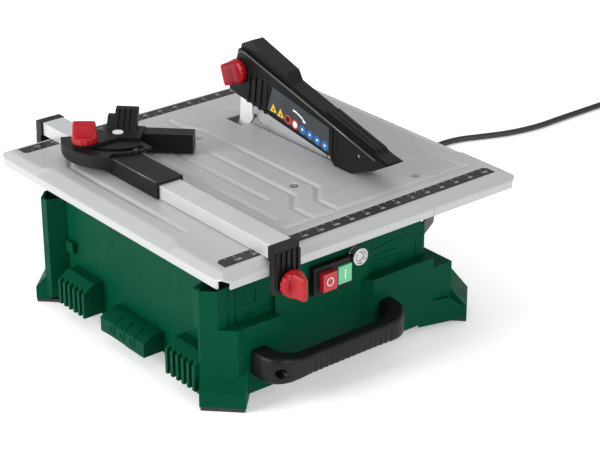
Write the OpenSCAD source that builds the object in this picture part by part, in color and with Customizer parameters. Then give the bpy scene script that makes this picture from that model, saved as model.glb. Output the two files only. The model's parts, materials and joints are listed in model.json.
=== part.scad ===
// Electric tile cutter: tilting steel table on a moulded base, diamond blade below,
// hinged blade guard on a riving knife, rip fence with a sliding mitre gauge.
// Millimetres, +Z up, Z = 0 on the floor, X = Y = 0 under the middle of the table.
// The blade turns in the YZ plane at X = blade_x, the operator stands at -Y.

/* [Table] */
// table width over the skirts
table_w = 384; // [376:1:392]
// table depth over the skirts
table_d = 394; // [388:1:400]
// height of the working surface above the floor
top_z = 165; // [164:0.5:168]
// thickness of the pressed sheet
sheet_t = 2; // [1.6:0.1:2.4]
// depth of the drain grooves
groove_depth = 1.1; // [0.6:0.1:1.2]
// width of the drain grooves
groove_w = 10; // [7:0.5:11]

/* [Blade] */
// blade diameter
blade_dia = 180; // [170:1:184]
// blade core thickness
blade_t = 2.2; // [1.8:0.1:2.4]
// width of the diamond rim
rim_w = 8; // [5:0.5:9]
// arbor bore of the blade
bore_dia = 25.4; // [22.2:0.1:25.4]

/* [Base] */
// wall thickness of the moulded base
wall_t = 3; // [2.5:0.1:3.4]
// height of the upper rim of the base
base_h = 124; // [120:1:125]
// thickness of the rubber pads
pad_t = 4; // [3:0.5:5]

/* [Fence] */
// width of the fence rail
rail_w = 26; // [25:0.5:26]
// height of the fence rail
rail_h = 14.7; // [13:0.1:14.8]

/* [Knobs] */
// diameter of the lobed knob base
knob_dia = 28; // [26:1:29]
// height of the knob paddle
paddle_h = 24.5; // [20:0.5:25]

/* [Hidden] */
$fn = 48;
blade_x = 66.5;
blade_y = 16.5;
blade_z = 109;
// the table tilts about an axis along Y on the blade line in the working surface
tilt_r = 81.5;
nut_angle = 217;
bolt_r = 4;
base_cx = -6;
rail_x0 = -134.5;
rail_z0 = top_z + 0.3;
rail_z1 = rail_z0 + rail_h;
rail_y1 = 198;
fence_knob_x = -121;
fence_knob_z = 143;
pivot_x = -100;
pivot_y = 105;
mitre_knob_r = 41;
sector_r = 60;
guard_x0 = 54;
guard_x1 = 79;
guard_py = 94;
guard_pz = 225;
nut_x = blade_x + tilt_r * cos(nut_angle);
nut_z = top_z + tilt_r * sin(nut_angle);
green = [0.03, 0.30, 0.18];
black = [0.16, 0.16, 0.16];
steel = [0.72, 0.73, 0.75];
red = [0.70, 0.10, 0.14];

// Cord route: gland on the right side, down to the floor, away to the right.
cord_r = 3.8;
cord_pts = [
    [152, 100, 38], [172, 100.5, 36.5], [195, 102, 30], [218, 104.5, 19],
    [242, 108, 9.5], [268, 113, 4.8], [300, 122, 3.8], [335, 135, 3.8],
    [372, 152, 3.8], [408, 171, 3.8], [443, 186, 3.8], [478, 184, 3.8],
    [512, 171, 3.8], [548, 158, 3.8], [590, 151, 3.8], [640, 151, 3.8],
    [690, 151, 3.8], [740, 151, 3.8], [790, 151, 3.8]
];
coil_x = 790;
coil_y = 101.4;
coil_mean_r = 42;

// ---------- shared helpers ----------

// cylinder along +Y from y0 to y1
module ycyl(x, z, y0, y1, r) {
    translate([x, y0, z])
        rotate([-90, 0, 0])
            cylinder(h = y1 - y0, r = r);
}

// cylinder along +X from x0 to x1
module xcyl(y, z, x0, x1, r) {
    translate([x0, y, z])
        rotate([0, 90, 0])
            cylinder(h = x1 - x0, r = r);
}

// box from one corner to the other
module box(a, b) {
    translate(a)
        cube([b[0] - a[0], b[1] - a[1], b[2] - a[2]]);
}

// flat outline in XZ, extruded from y0 to y1
module xz_plate(y0, y1, pts) {
    translate([0, y1, 0])
        rotate([90, 0, 0])
            linear_extrude(height = y1 - y0)
                polygon(pts);
}

// flat outline in YZ, extruded from x0 to x1
module yz_plate(x0, x1, pts) {
    translate([x0, 0, 0])
        rotate([90, 0, 90])
            linear_extrude(height = x1 - x0)
                polygon(pts);
}

// rectangle with round corners, centred
module round_rect(w, d, r) {
    square([w - 2 * r, d], center = true);
    square([w, d - 2 * r], center = true);
    for (sx = [-1, 1])
        for (sy = [-1, 1])
            translate([sx * (w / 2 - r), sy * (d / 2 - r)])
                circle(r = r);
}

// wing knob on its own axis: lobed base from z = 0, paddle above, threaded stud below
module wing_knob(stud) {
    union() {
        cylinder(h = 7, r = knob_dia / 2 - 1.2);
        for (i = [0:11])
            rotate([0, 0, i * 30])
                translate([knob_dia / 2 - 2.6, 0, 0])
                    cylinder(h = 7, r = 2.6, $fn = 24);
        translate([0, 0, 7])
            cylinder(h = 4, r1 = 11.5, r2 = 9);
        translate([-paddle_h / 2, -3.3, 6.9])
            cube([paddle_h, 6.6, 13]);
        translate([-paddle_h / 2 + 1, -2.8, 19.8])
            cube([paddle_h - 2, 5.6, 6.2]);
    }
    if (stud > 0)
        translate([0, 0, -stud])
            cylinder(h = stud + 1, r = 3);
}

// ring sector in the XZ plane about the tilt axis, from y0 to y1
module tilt_slot(y0, y1, a0, a1, r, half) {
    for (a = [a0:3:a1])
        ycyl(blade_x + r * cos(a), top_z + r * sin(a), y0, y1, half);
    translate([blade_x, y1, top_z])
        rotate([90, 0, 0])
            linear_extrude(height = y1 - y0)
                difference() {
                    circle(r = r + half, $fn = 180);
                    circle(r = r - half, $fn = 180);
                    for (a = [a1:40:a1 + 360 - (a1 - a0) - 40])
                        polygon([[0, 0], [200 * cos(a), 200 * sin(a)],
                                 [200 * cos(a + 20), 200 * sin(a + 20)],
                                 [200 * cos(a + 40), 200 * sin(a + 40)]]);
                    polygon([[0, 0], [200 * cos(a0), 200 * sin(a0)],
                             [200 * cos(a0 - 20), 200 * sin(a0 - 20)],
                             [200 * cos(a0 - 40), 200 * sin(a0 - 40)]]);
                }
}

// ---------- base ----------

// plan of the lower body, grown inwards by t
module lower_plan(t) {
    k = t * 0.414;
    polygon([
        [-177.5 + t, -129.5 - k], [-177.5 + t, -140 + k], [-151.5 + k, -166 + t],
        [-98 - t, -167 + t], [-98 - t, -157 + t], [12 + t, -157 + t],
        [21 + t, -167 + t], [129.4 - t, -167 + t], [129.4 - t, 167 - t],
        [-150.5 + k, 167 - t], [-177.5 + t, 140 - k], [-177.5 + t, 129.5 + k],
        [-157 + t, 122 + k], [-157 + t, -122 - k]
    ]);
}

// plan of the upper body, grown inwards by t
module upper_plan(t) {
    k = t * 0.414;
    polygon([
        [-177.5 + t, -129.5 - k], [-177.5 + t, -140 + k], [-165.5 + k, -152 + t],
        [-98 - k, -152 + t], [-98 + k, -157 + t], [22 - k, -157 + t],
        [27 - k, -152 + t], [103 - t, -152 + t], [103 - t, 152 - t], [-165.5 + k, 152 - t],
        [-177.5 + t, 140 - k], [-177.5 + t, 129.5 + k], [-157 + t, 122 + k],
        [-157 + t, -122 - k]
    ]);
}

// one diagonal leg, pointing to +X +Y from the corner of the base
module leg() {
    rotate([0, 0, 45])
        translate([186, -23, 0])
            difference() {
                translate([0, 0, pad_t])
                    cube([45.5, 46, 42 - pad_t]);
                translate([46, -1, 18])
                    rotate([0, -40, 0])
                        cube([40, 48, 60]);
            }
}

module legs() {
    for (sx = [-1, 1])
        for (sy = [-1, 1])
            translate([base_cx, 0, 0])
                mirror([sx < 0 ? 1 : 0, 0, 0])
                    mirror([0, sy < 0 ? 1 : 0, 0])
                        leg();
}

// long low foot along the wall at a right-hand corner, its top rising outwards
module side_foot() {
    intersection() {
        translate([0, 0, pad_t + 1])
            linear_extrude(height = 28)
                polygon([[72, 150], [72, 160], [140.2, 178.6], [138, 172], [118, 150]]);
        xz_plate(140, 190, [
            [70, 0], [70, 19.5], [75, 21], [97, 33], [121, 33], [139, 18.2], [160, 18.2],
            [160, 0]
        ]);
    }
}

// shallow slots and recesses cut into the front wall of the upper body
module wall_slots() {
    y0 = -154;
    y1 = -150.8;
    box([-136, y0, 99], [-118, y1, 113]);
    box([-114, y0, 90], [-99.5, y1, 99]);
    xz_plate(y0, y1, [[-134.4, 84.3], [-134.4, 86.1], [-125.4, 92.3], [-125.4, 90.5]]);
    xz_plate(y0, y1, [[29, 107.2], [68, 112.2], [68, 113.8], [29, 108.8]]);
    box([34, y0, 100.2], [62, y1, 101.8]);
    xz_plate(y0, y1, [[31.5, 96.8], [67, 94.8], [67, 93.2], [31.5, 95.2]]);
    xz_plate(y0, y1, [[82, 113.8], [100, 106.8], [100, 105.2], [82, 112.2]]);
    box([89.9, y0, 84.5], [91.1, y1, 102]);
}

module base_housing() {
    color(green)
        difference() {
            union() {
                // lower body up to the ledge, then the upper body
                translate([0, 0, 10])
                    linear_extrude(height = 61)
                        lower_plan(0);
                intersection() {
                    translate([0, 0, 71])
                        linear_extrude(height = 12)
                            lower_plan(0);
                    box([-200, -200, 60], [103, 200, 90]);
                }
                translate([0, 0, 70])
                    linear_extrude(height = base_h - 70)
                        upper_plan(0);
                legs();
                side_foot();
                mirror([0, 1, 0])
                    side_foot();
                // fluted grip blocks and the ledge on the left wall
                for (y = [-136, 57.5])
                    box([-183, y, 15], [-154, y + 48, 52]);
                box([-183, -50.5, 15], [-154, 26.5, 38]);
                box([-163, 106, 66], [-154, 118, 78]);
            }
            // hollow, in steps that follow the outside
            translate([0, 0, -1])
                linear_extrude(height = 71 - wall_t + 1)
                    lower_plan(wall_t);
            intersection() {
                translate([0, 0, 60])
                    linear_extrude(height = 23 - wall_t)
                        lower_plan(wall_t);
                box([-200, -200, 60], [103 - wall_t, 200, 90]);
            }
            translate([0, 0, 65])
                linear_extrude(height = base_h)
                    upper_plan(wall_t);
            // flutes and sloping tops of the grip blocks
            for (y = [-136, 57.5]) {
                for (i = [0:4])
                    box([-184, y + 3.5 + i * 9, 10], [-178, y + 8.5 + i * 9, 47]);
                translate([-184, y - 1, 42])
                    rotate([0, -35, 0])
                        cube([30, 50, 30]);
            }
            translate([-184, -52, 30])
                rotate([0, -30, 0])
                    cube([30, 80, 30]);
            // openings: switch, lock bolts, gland, handle bosses
            box([-54, -170, 90], [-8.4, -140, 116.5]);
            for (sy = [-1, 1])
                ycyl(nut_x, nut_z, sy < 0 ? -160 : 140, sy < 0 ? -140 : 160, bolt_r);
            xcyl(100, 38, 120, 135, 8);
            // notches in the right wall that the tilt brackets swing through
            for (sy = [-1, 1]) {
                box([98, sy < 0 ? -146.5 : 133, 88.5], [105, sy < 0 ? -133 : 146.5, 130]);
                box([98, sy < 0 ? -153.5 : 140, 117], [105, sy < 0 ? -140 : 153.5, 131]);
            }
            for (x = [-126, 38])
                ycyl(x, 43, -170, -155, 2.5);
            // shallow slots and recesses in the upper front wall
            wall_slots();
            // arched lower edge between the legs
            ycyl(-6, -260, -180, 180, 275);
            xcyl(0, -260, -200, -120, 276);
            xcyl(0, -260, 110, 200, 276);
        }
    color(green)
        inner_ribs();
}

// ribs on the front and rear walls that carry the motor plate, and the tray ledge
module inner_ribs() {
    for (sy = [-1, 1])
        difference() {
            box([34, sy < 0 ? -164.1 : 122, 30], [46, sy < 0 ? -122 : 164.1, 70]);
            for (z = [40, 60])
                xcyl(sy * 129, z, 36, 47, 2.5);
            ycyl(38, 43, -170, -155, 2.5);
        }
    // ledges that carry the rim of the tray
    box([-120, -154.5, 38], [-20, -118.6, 43]);
    box([-120, 118.6, 38], [-20, 164.1, 43]);
}

module rubber_feet() {
    color([0.09, 0.09, 0.09])
        for (sx = [-1, 1])
            for (sy = [-1, 1])
                translate([base_cx, 0, 0])
                    mirror([sx < 0 ? 1 : 0, 0, 0])
                        mirror([0, sy < 0 ? 1 : 0, 0])
                            rotate([0, 0, 45])
                                translate([188, -22, 0])
                                    cube([43.5, 44, pad_t]);
}

module water_tray() {
    color([0.20, 0.22, 0.22])
        difference() {
            union() {
                box([-140, -118, 12], [99, 118, 46]);
                box([-144, -121, 43], [99.5, 121, 46]);
            }
            box([-137.5, -115.5, 14.5], [96.5, 115.5, 60]);
        }
}

module carry_handle() {
    color(black)
        difference() {
            union() {
                // grip bar with its ribbed front
                box([-101, -203, 30], [25, -186, 52]);
                for (i = [0:16])
                    box([-97 + i * 7, -205, 31], [-93.4 + i * 7, -202, 51]);
                // left end: side arm and diagonal front
                translate([0, 0, 29])
                    linear_extrude(height = 29)
                        polygon([[-137, -167], [-137, -187], [-119, -203],
                                 [-100, -203], [-100, -187], [-113, -182],
                                 [-118, -167]]);
                // right end
                translate([0, 0, 29])
                    linear_extrude(height = 29)
                        polygon([[45, -167], [45, -187], [30, -203], [24, -203],
                                 [24, -187], [29, -182], [29, -167]]);
            }
            for (x = [-126, 38]) {
                ycyl(x, 43, -210, -183, 5);
                ycyl(x, 43, -184, -160, 2.5);
            }
        }
}

module handle_screws() {
    color([0.45, 0.46, 0.48])
        for (x = [-126, 38]) {
            difference() {
                ycyl(x, 43, -186.5, -183, 4.5);
                ycyl(x, 43, -190, -185, 2);
            }
            ycyl(x, 43, -183, -156, 2.5);
        }
}

module switch_housing() {
    color(black)
        difference() {
            union() {
                box([-56, -165, 88], [-7, -157, 118.5]);
                box([-53.8, -157, 90.2], [-9.2, -146, 116.3]);
            }
            box([-49, -170, 92.5], [-31, -150, 112.5]);
            box([-26.5, -170, 92.5], [-8.6, -150, 112.5]);
        }
}

module stop_button() {
    color(red)
        difference() {
            box([-48.8, -171, 92.7], [-31.2, -154, 112.3]);
            translate([-40, -170.5, 102.5])
                rotate([90, 0, 0])
                    difference() {
                        cylinder(h = 3, r = 4.6);
                        translate([0, 0, -1])
                            cylinder(h = 5, r = 3.5);
                    }
        }
}

module start_button() {
    color([0.30, 0.72, 0.45])
        difference() {
            box([-26.3, -167, 92.7], [-8.8, -154, 112.3]);
            box([-18.2, -168, 97], [-16.8, -166.5, 108]);
        }
}

// clamping bolts and short guide pins of both tilt brackets
module guide_bolts() {
    color(steel)
        for (sy = [-1, 1]) {
            mirror([0, sy < 0 ? 0 : 1, 0]) {
                ycyl(nut_x, nut_z, -167.5, -140, bolt_r);
                ycyl(nut_x, nut_z, -140, -136, 7.5);
                ycyl(blade_x, top_z - 62, -149, -140, bolt_r);
                ycyl(blade_x, top_z - 62, -140, -136, 7);
            }
        }
}

// round lock nut with its washer, hub and dished flange, the washer's back at y0
module lock_nut(y0) {
    difference() {
        union() {
            ycyl(0, 0, y0 - 2.3, y0 - 0.2, 8.2);
            ycyl(0, 0, y0 - 8.6, y0 - 2.3, 7.4);
            ycyl(0, 0, y0 - 11.6, y0 - 8.6, 9.4);
        }
        difference() {
            ycyl(0, 0, y0 - 12, y0 - 10.4, 7.2);
            ycyl(0, 0, y0 - 12, y0 - 10.2, 5.2);
        }
        ycyl(0, 0, y0 - 20, y0 + 1, bolt_r + 0.05);
    }
}

module tilt_nut_front() {
    color([0.80, 0.81, 0.83])
        translate([nut_x, 0, nut_z])
            lock_nut(-157);
}

module tilt_nut_rear() {
    color([0.80, 0.81, 0.83])
        translate([nut_x, 0, nut_z])
            mirror([0, 1, 0])
                lock_nut(-152);
}

// ---------- motor ----------

module motor_plate() {
    color([0.62, 0.63, 0.65])
        difference() {
            union() {
                box([46, -135, 46.2], [49, 135, 72]);
                for (sy = [-1, 1])
                    box([46, sy < 0 ? -135 : 121.6, 34], [49, sy < 0 ? -121.6 : 135, 50]);
                box([46, -33, 64], [49, 66, 150]);
                box([46, 60, 64], [49, 126, 150]);
            }
            xcyl(blade_y, blade_z, 40, 55, 21);
            for (a = [45:90:315])
                xcyl(blade_y + 38 * cos(a), blade_z + 38 * sin(a), 40, 55, 2.5);
            for (z = [127, 143])
                xcyl(116.5, z, 40, 55, 3);
            for (sy = [-1, 1])
                for (z = [40, 60])
                    xcyl(sy * 129, z, 40, 55, 2.5);
        }
}

module plate_screws() {
    color(steel)
        for (sy = [-1, 1])
            for (z = [40, 60]) {
                xcyl(sy * 129, z, 37, 49, 2.5);
                xcyl(sy * 129, z, 49, 52, 4.5);
            }
}

module motor_housing() {
    color([0.55, 0.57, 0.58])
        difference() {
            union() {
                xcyl(blade_y, blade_z, -62, 34, 45);
                for (i = [0:17])
                    if (i != 4 && i != 13)
                        translate([-60, blade_y, blade_z])
                            rotate([i * 20, 0, 0])
                                translate([0, 44, -1])
                                    cube([92, 4, 2]);
            }
            xcyl(blade_y, blade_z, -70, 40, 42);
        }
}

module end_shield_left() {
    color([0.60, 0.61, 0.62])
        difference() {
            union() {
                xcyl(blade_y, blade_z, -70, -62, 45);
                xcyl(blade_y, blade_z, -62, -56, 42);
            }
            xcyl(blade_y, blade_z, -64, -50, 34);
            xcyl(blade_y, blade_z, -67, -60, 13);
            xcyl(blade_y, blade_z, -80, -60, 9);
        }
}

module end_shield_right() {
    color([0.60, 0.61, 0.62])
        difference() {
            union() {
                xcyl(blade_y, blade_z, 34, 46, 45);
                xcyl(blade_y, blade_z, 28, 34, 42);
                xcyl(blade_y, blade_z, 46, 52, 21);
            }
            xcyl(blade_y, blade_z, 20, 40, 34);
            xcyl(blade_y, blade_z, 38, 50, 13);
            xcyl(blade_y, blade_z, 30, 60, 10);
            for (a = [45:90:315])
                xcyl(blade_y + 38 * cos(a), blade_z + 38 * sin(a), 36, 50, 2.5);
        }
}

module bearings() {
    color([0.75, 0.76, 0.78])
        for (x = [-67, 42])
            difference() {
                xcyl(blade_y, blade_z, x, x + 7.9, 13);
                xcyl(blade_y, blade_z, x - 1, x + 9, 6.05);
            }
}

module stator_core() {
    color([0.42, 0.43, 0.45])
        difference() {
            xcyl(blade_y, blade_z, -38, 12, 42);
            xcyl(blade_y, blade_z, -40, 20, 24);
            for (i = [0:23])
                translate([0, blade_y, blade_z])
                    rotate([i * 15, 0, 0])
                        box([-40, 23, -1.6], [20, 33, 1.6]);
        }
}

// winding overhang rings on both ends of the stator
module windings() {
    color([0.62, 0.30, 0.14])
        for (x = [-52, 12])
            difference() {
                xcyl(blade_y, blade_z, x, x + 14, 35);
                xcyl(blade_y, blade_z, x - 1, x + 15, 25);
            }
}

module rotor_core() {
    color([0.50, 0.51, 0.53])
        difference() {
            xcyl(blade_y, blade_z, -38, 12, 23.5);
            xcyl(blade_y, blade_z, -40, 20, 8);
        }
}

module motor_shaft() {
    color([0.68, 0.69, 0.71])
        union() {
            xcyl(blade_y, blade_z, -92, -56, 6);
            xcyl(blade_y, blade_z, -56, 38, 8);
            xcyl(blade_y, blade_z, 38, 88, 6);
        }
}

module cooling_fan() {
    color([0.12, 0.12, 0.12])
        difference() {
            union() {
                xcyl(blade_y, blade_z, -88, -76, 12);
                xcyl(blade_y, blade_z, -78, -76, 38);
                for (i = [0:7])
                    translate([0, blade_y, blade_z])
                        rotate([i * 45, 0, 0])
                            box([-88, 9, -1], [-77, 37, 1]);
            }
            xcyl(blade_y, blade_z, -100, -60, 6);
        }
}

module fan_cover() {
    color([0.14, 0.14, 0.15])
        difference() {
            xcyl(blade_y, blade_z, -97, -70, 46);
            xcyl(blade_y, blade_z, -95, -60, 44);
            for (i = [0:11])
                translate([0, blade_y, blade_z])
                    rotate([i * 30, 0, 0])
                        box([-99, 14, -2.5], [-90, 36, 2.5]);
        }
}

module motor_bolts() {
    color(steel)
        for (a = [45:90:315]) {
            xcyl(blade_y + 38 * cos(a), blade_z + 38 * sin(a), 37, 49, 2.5);
            xcyl(blade_y + 38 * cos(a), blade_z + 38 * sin(a), 49, 52, 4.5);
        }
}

module capacitor() {
    color([0.78, 0.79, 0.78])
        union() {
            xcyl(-128, 90, -150, -84, 17);
            xcyl(-128, 90, -84, -76, 4);
            box([-140, -149, 84], [-104, -143, 96]);
        }
}

// ---------- blade ----------

module inner_flange() {
    color(steel)
        difference() {
            union() {
                xcyl(blade_y, blade_z, 56, blade_x - blade_t / 2, 26);
                xcyl(blade_y, blade_z, blade_x - blade_t / 2, blade_x + 0.8, bore_dia / 2);
            }
            xcyl(blade_y, blade_z, 50, 70, 6);
            difference() {
                xcyl(blade_y, blade_z, blade_x - blade_t / 2 - 1, blade_x - blade_t / 2, 20);
                xcyl(blade_y, blade_z, 60, 70, bore_dia / 2);
            }
        }
}

module outer_flange() {
    color(steel)
        difference() {
            xcyl(blade_y, blade_z, blade_x + blade_t / 2, 74, 26);
            xcyl(blade_y, blade_z, 60, 80, 6);
            xcyl(blade_y, blade_z, 60, blade_x + blade_t / 2 + 1, 20);
        }
}

module arbor_nut() {
    color(steel)
        difference() {
            translate([74, blade_y, blade_z])
                rotate([0, 90, 0])
                    cylinder(h = 10, r = 11, $fn = 6);
            xcyl(blade_y, blade_z, 70, 90, 6);
        }
}

module saw_blade() {
    color([0.80, 0.81, 0.83])
        difference() {
            xcyl(blade_y, blade_z, blade_x - blade_t / 2, blade_x + blade_t / 2, blade_dia / 2);
            xcyl(blade_y, blade_z, 60, 80, bore_dia / 2);
            for (i = [0:15])
                translate([0, blade_y, blade_z])
                    rotate([i * 22.5, 0, 0]) {
                        box([60, blade_dia / 2 - rim_w, -1], [80, blade_dia, 1]);
                        translate([60, blade_dia / 2 - rim_w - 1, 0])
                            rotate([0, 90, 0])
                                cylinder(h = 20, r = 2.5, $fn = 24);
                    }
        }
}

// ---------- riving knife ----------

module knife_bracket() {
    color([0.85, 0.86, 0.87])
        difference() {
            union() {
                box([49, 110, 119], [blade_x - 1, 123, 151]);
                box([49, 94, 148], [blade_x - 2.3, 110.1, 151]);
            }
            for (z = [127, 143])
                xcyl(116.5, z, 40, 80, 3);
        }
}

module knife_bolts() {
    color(steel)
        for (z = [127, 143]) {
            xcyl(116.5, z, 43, 74, 3);
            xcyl(116.5, z, 42, 46, 5.5);
            xcyl(116.5, z, blade_x + 1, 72, 5.5);
        }
}

module riving_knife() {
    color([0.88, 0.88, 0.89])
        difference() {
            union() {
                yz_plate(blade_x - 1, blade_x + 1, [
                    [100, 118], [125, 118], [125, 146], [112, 158], [110, 168],
                    [108, 200], [104, 225], [84, 225], [86, 200], [88, 182], [88, 160],
                    [94, 140]
                ]);
                xcyl(guard_py, guard_pz, blade_x - 1, blade_x + 1, 10);
            }
            xcyl(guard_py, guard_pz, 60, 80, 3.05);
            for (z = [127, 143])
                xcyl(116.5, z, 60, 80, 3);
            // clear of the blade rim
            xcyl(blade_y, blade_z, 60, 80, blade_dia / 2 + 2.5);
        }
}

// ---------- guard ----------

// side outline of the guard, moved inwards by t
module guard_side(t) {
    polygon([
        [114 - t, 200 + t * 0.4], [102 - t, 232], [95.5 - t, 255 - t], [80, 262.5 - t],
        [18 + t * 0.3, 243.5 - t], [11 + t * 0.3, 232 - t], [-31, 221 - t],
        [-130 + t, 195.5 - t], [-144 + t * 3, 192 - t], [-126 + t, 180 + t],
        [-90 + t, 165.5 + t], [-64, 165.5 + t], [-60, 173 - t * 3], [54, 190 - t * 3],
        [94, 196 - t * 3], [100, 196 - t * 3]
    ]);
}

// lower, wider part of one side, below the ridge line
module guard_ridge(t) {
    polygon([
        [114 - t, 200 + t], [101 - t, 235], [96 - t, 250 - t], [85, 249 - t],
        [-130, 192.5 - t], [-144 + t * 3, 190], [-126 + t, 180 + t],
        [-90 + t, 165.5 + t], [-64, 165.5 + t], [-60, 173 - t * 3],
        [54, 190 - t * 3], [100, 196 - t * 3]
    ]);
}

// one half of the guard, between x0 and x1, hollow towards the blade
module guard_half(x0, x1, face) {
    difference() {
        union() {
            translate([face < 0 ? x0 + 4 : x0, 0, 0])
                rotate([90, 0, 90])
                    linear_extrude(height = x1 - x0 - 4)
                        guard_side(0);
            translate([x0, 0, 0])
                rotate([90, 0, 90])
                    linear_extrude(height = x1 - x0)
                        guard_ridge(0);
        }
        // cavity for blade and knife
        translate([face < 0 ? x0 + 6.5 : x0 - 1, 0, 0])
            rotate([90, 0, 90])
                linear_extrude(height = x1 - x0 - 5.5)
                    guard_side(2.5);
        translate([face < 0 ? x0 + 2.5 : x0 - 1, 0, 0])
            rotate([90, 0, 90])
                linear_extrude(height = x1 - x0 - 1.5)
                    guard_ridge(2.5);
        // slit for the knife through the rear and open belly
        box([blade_x - 2, 60, 180], [blade_x + 2, 120, 245]);
        yz_plate(guard_x0 + 2.5, guard_x1 - 2.5,
                 [[-61, 150], [-61, 176], [60, 194], [98, 199], [98, 150]]);
        // bolt hole
        xcyl(guard_py, guard_pz, 40, 90, 3.05);
        xcyl(-102, 188.4, 55, 90, 1.75);
        xcyl(-102, 188.4, 50, 55, 2.6);
        xcyl(30, 228, 55, 90, 1.75);
    }
}

module guard_left_shell() {
    color(black)
        union() {
            difference() {
                guard_half(guard_x0, blade_x, -1);
                // recess for the label and three grooves behind it
                yz_plate(guard_x0 - 1, guard_x0 + 0.6,
                         [[-56, 176.2], [-56, 205], [38, 223], [48, 194.5]]);
                for (y = [56, 66, 76])
                    yz_plate(guard_x0 - 1, guard_x0 + 0.8,
                             [[y, 198], [y + 4, 198.6], [y, 226], [y - 4, 225.4]]);
            }
            difference() {
                union() {
                    xcyl(guard_py, guard_pz, guard_x0 + 2, blade_x - 1.2, 7);
                    xcyl(-102, 188.4, guard_x0 + 2, blade_x, 4);
                    xcyl(30, 228, guard_x0 + 2, blade_x, 4);
                }
                xcyl(guard_py, guard_pz, 40, 90, 3.05);
                xcyl(-102, 188.4, 55, 90, 1.75);
                xcyl(30, 228, 55, 90, 1.75);
            }
        }
}

module guard_right_shell() {
    color(black)
        union() {
            guard_half(blade_x, guard_x1, 1);
            difference() {
                union() {
                    xcyl(guard_py, guard_pz, blade_x + 1.2, guard_x1 - 2, 7);
                    xcyl(-102, 188.4, blade_x, guard_x1 - 2, 4);
                    xcyl(30, 228, blade_x, guard_x1 - 2, 4);
                }
                xcyl(guard_py, guard_pz, 40, 90, 3.05);
                xcyl(-102, 188.4, 55, 90, 1.75);
                xcyl(30, 228, 55, 90, 1.75);
            }
        }
}

module guard_screws() {
    color(steel)
        for (p = [[-102, 188.4], [30, 228]]) {
            xcyl(p[0], p[1], 55, guard_x1, 1.75);
            xcyl(p[0], p[1], guard_x1, guard_x1 + 1.6, 3.4);
        }
}

module guard_label() {
    color([0.20, 0.22, 0.24])
        yz_plate(guard_x0 + 0.2, guard_x0 + 0.6,
                 [[-55.5, 176.7], [-55.5, 204.7], [37.6, 222.5], [47.3, 194.7]]);
}

module guard_bolt() {
    color(steel)
        union() {
            xcyl(guard_py, guard_pz, 44, guard_x1, 3);
            xcyl(guard_py, guard_pz, guard_x1, guard_x1 + 4, 5.5);
        }
}

module guard_knob() {
    color(red)
        difference() {
            translate([guard_x0 - 0.3, guard_py, guard_pz])
                rotate([0, -90, 0])
                    rotate([0, 0, 20])
                        wing_knob(0);
            xcyl(guard_py, guard_pz, 43.9, 60, 3.05);
        }
}

// ---------- table ----------

// outside or inside form of the table, moved inwards by t
module table_form(t, z0) {
    intersection() {
        translate([0, table_d / 2 + 1, 0])
            rotate([90, 0, 0])
                linear_extrude(height = table_d + 2)
                    polygon([
                        [-table_w / 2 + t, z0], [-table_w / 2 + t, top_z - 6.5 - t * 0.45],
                        [-table_w / 2 + 8 + t * 0.4, top_z - t],
                        [table_w / 2 - 8 - t * 0.4, top_z - t],
                        [table_w / 2 - t, top_z - 6.5 - t * 0.45], [table_w / 2 - t, z0]
                    ]);
        translate([-table_w / 2 - 1, 0, 0])
            rotate([90, 0, 90])
                linear_extrude(height = table_w + 2)
                    polygon([
                        [-table_d / 2 + t, z0], [-table_d / 2 + t, top_z - 6.5 - t * 0.55],
                        [-table_d / 2 + 11 + t * 0.3, top_z - t],
                        [table_d / 2 - 11 - t * 0.3, top_z - t],
                        [table_d / 2 - t, top_z - 6.5 - t * 0.55], [table_d / 2 - t, z0]
                    ]);
        translate([0, 0, z0])
            linear_extrude(height = 40)
                round_rect(table_w - 2 * t, table_d - 2 * t, 14 - t);
    }
}

// unit direction and left normal of one leg of a groove
function leg_dir(a, b) = (b - a) / norm(b - a);
function left_of(d) = [-d[1], d[0]];

// corner of the groove outline beside point i, on the left (s = 1) or right (s = -1)
function groove_corner(p, i, s) =
    let (n = len(p) - 1,
         d0 = leg_dir(p[max(i - 1, 0)], p[max(i, 1)]),
         d1 = leg_dir(p[min(i, n - 1)], p[min(i + 1, n)]),
         m = (left_of(d0) + left_of(d1)) / norm(left_of(d0) + left_of(d1)))
        p[i] + s * groove_w / 2 / (m * left_of(d0)) * m;

// drain groove along a bent line
module groove(p) {
    n = len(p) - 1;
    translate([0, 0, top_z - groove_depth])
        linear_extrude(height = 5)
            polygon(concat([for (i = [0:n]) groove_corner(p, i, 1)],
                           [for (i = [n:-1:0]) groove_corner(p, i, -1)]));
}

screw_pts = [[-9, 87.5], [-9, -76.5], [104, -134.5], [104, 140]];

module table_top() {
    color([0.74, 0.75, 0.77])
        difference() {
            table_form(0, top_z - 15);
            table_form(sheet_t, top_z - 16);
            // blade slot and the wider opening for the knife
            box([61, -70, top_z - 20], [73, 86, top_z + 1]);
            box([48, 85.5, top_z - 20], [82, 113.5, top_z + 1]);
            // recesses for the two scales
            box([-176, -180, top_z - 0.6], [174, -164.5, top_z + 1]);
            box([-176, 168, top_z - 0.6], [174, 183, top_z + 1]);
            // drain grooves left of the blade
            groove([[-159, -95], [-159, 108], [-148, 124]]);
            groove([[-75, -128], [-75, 125]]);
            groove([[-52, -86], [-52, 120]]);
            groove([[-44, -144], [-44, -117], [-24, -94], [-24, 84]]);
            groove([[-13, -144], [-13, -117], [7, -94], [7, 104], [-5, 124], [-5, 144]]);
            // and right of it
            groove([[127, -144], [127, -112], [124, -90], [124, 140]]);
            groove([[156, -144], [156, -114], [154, -94], [154, 140]]);
            groove([[-80, -150], [162, -150]]);
            // countersunk screws
            for (p = screw_pts)
                translate([p[0], p[1], top_z - 2.5]) {
                    cylinder(h = 5, r = 2);
                    translate([0, 0, 1])
                        cylinder(h = 2, r1 = 2.5, r2 = 5);
                }
        }
}

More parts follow.
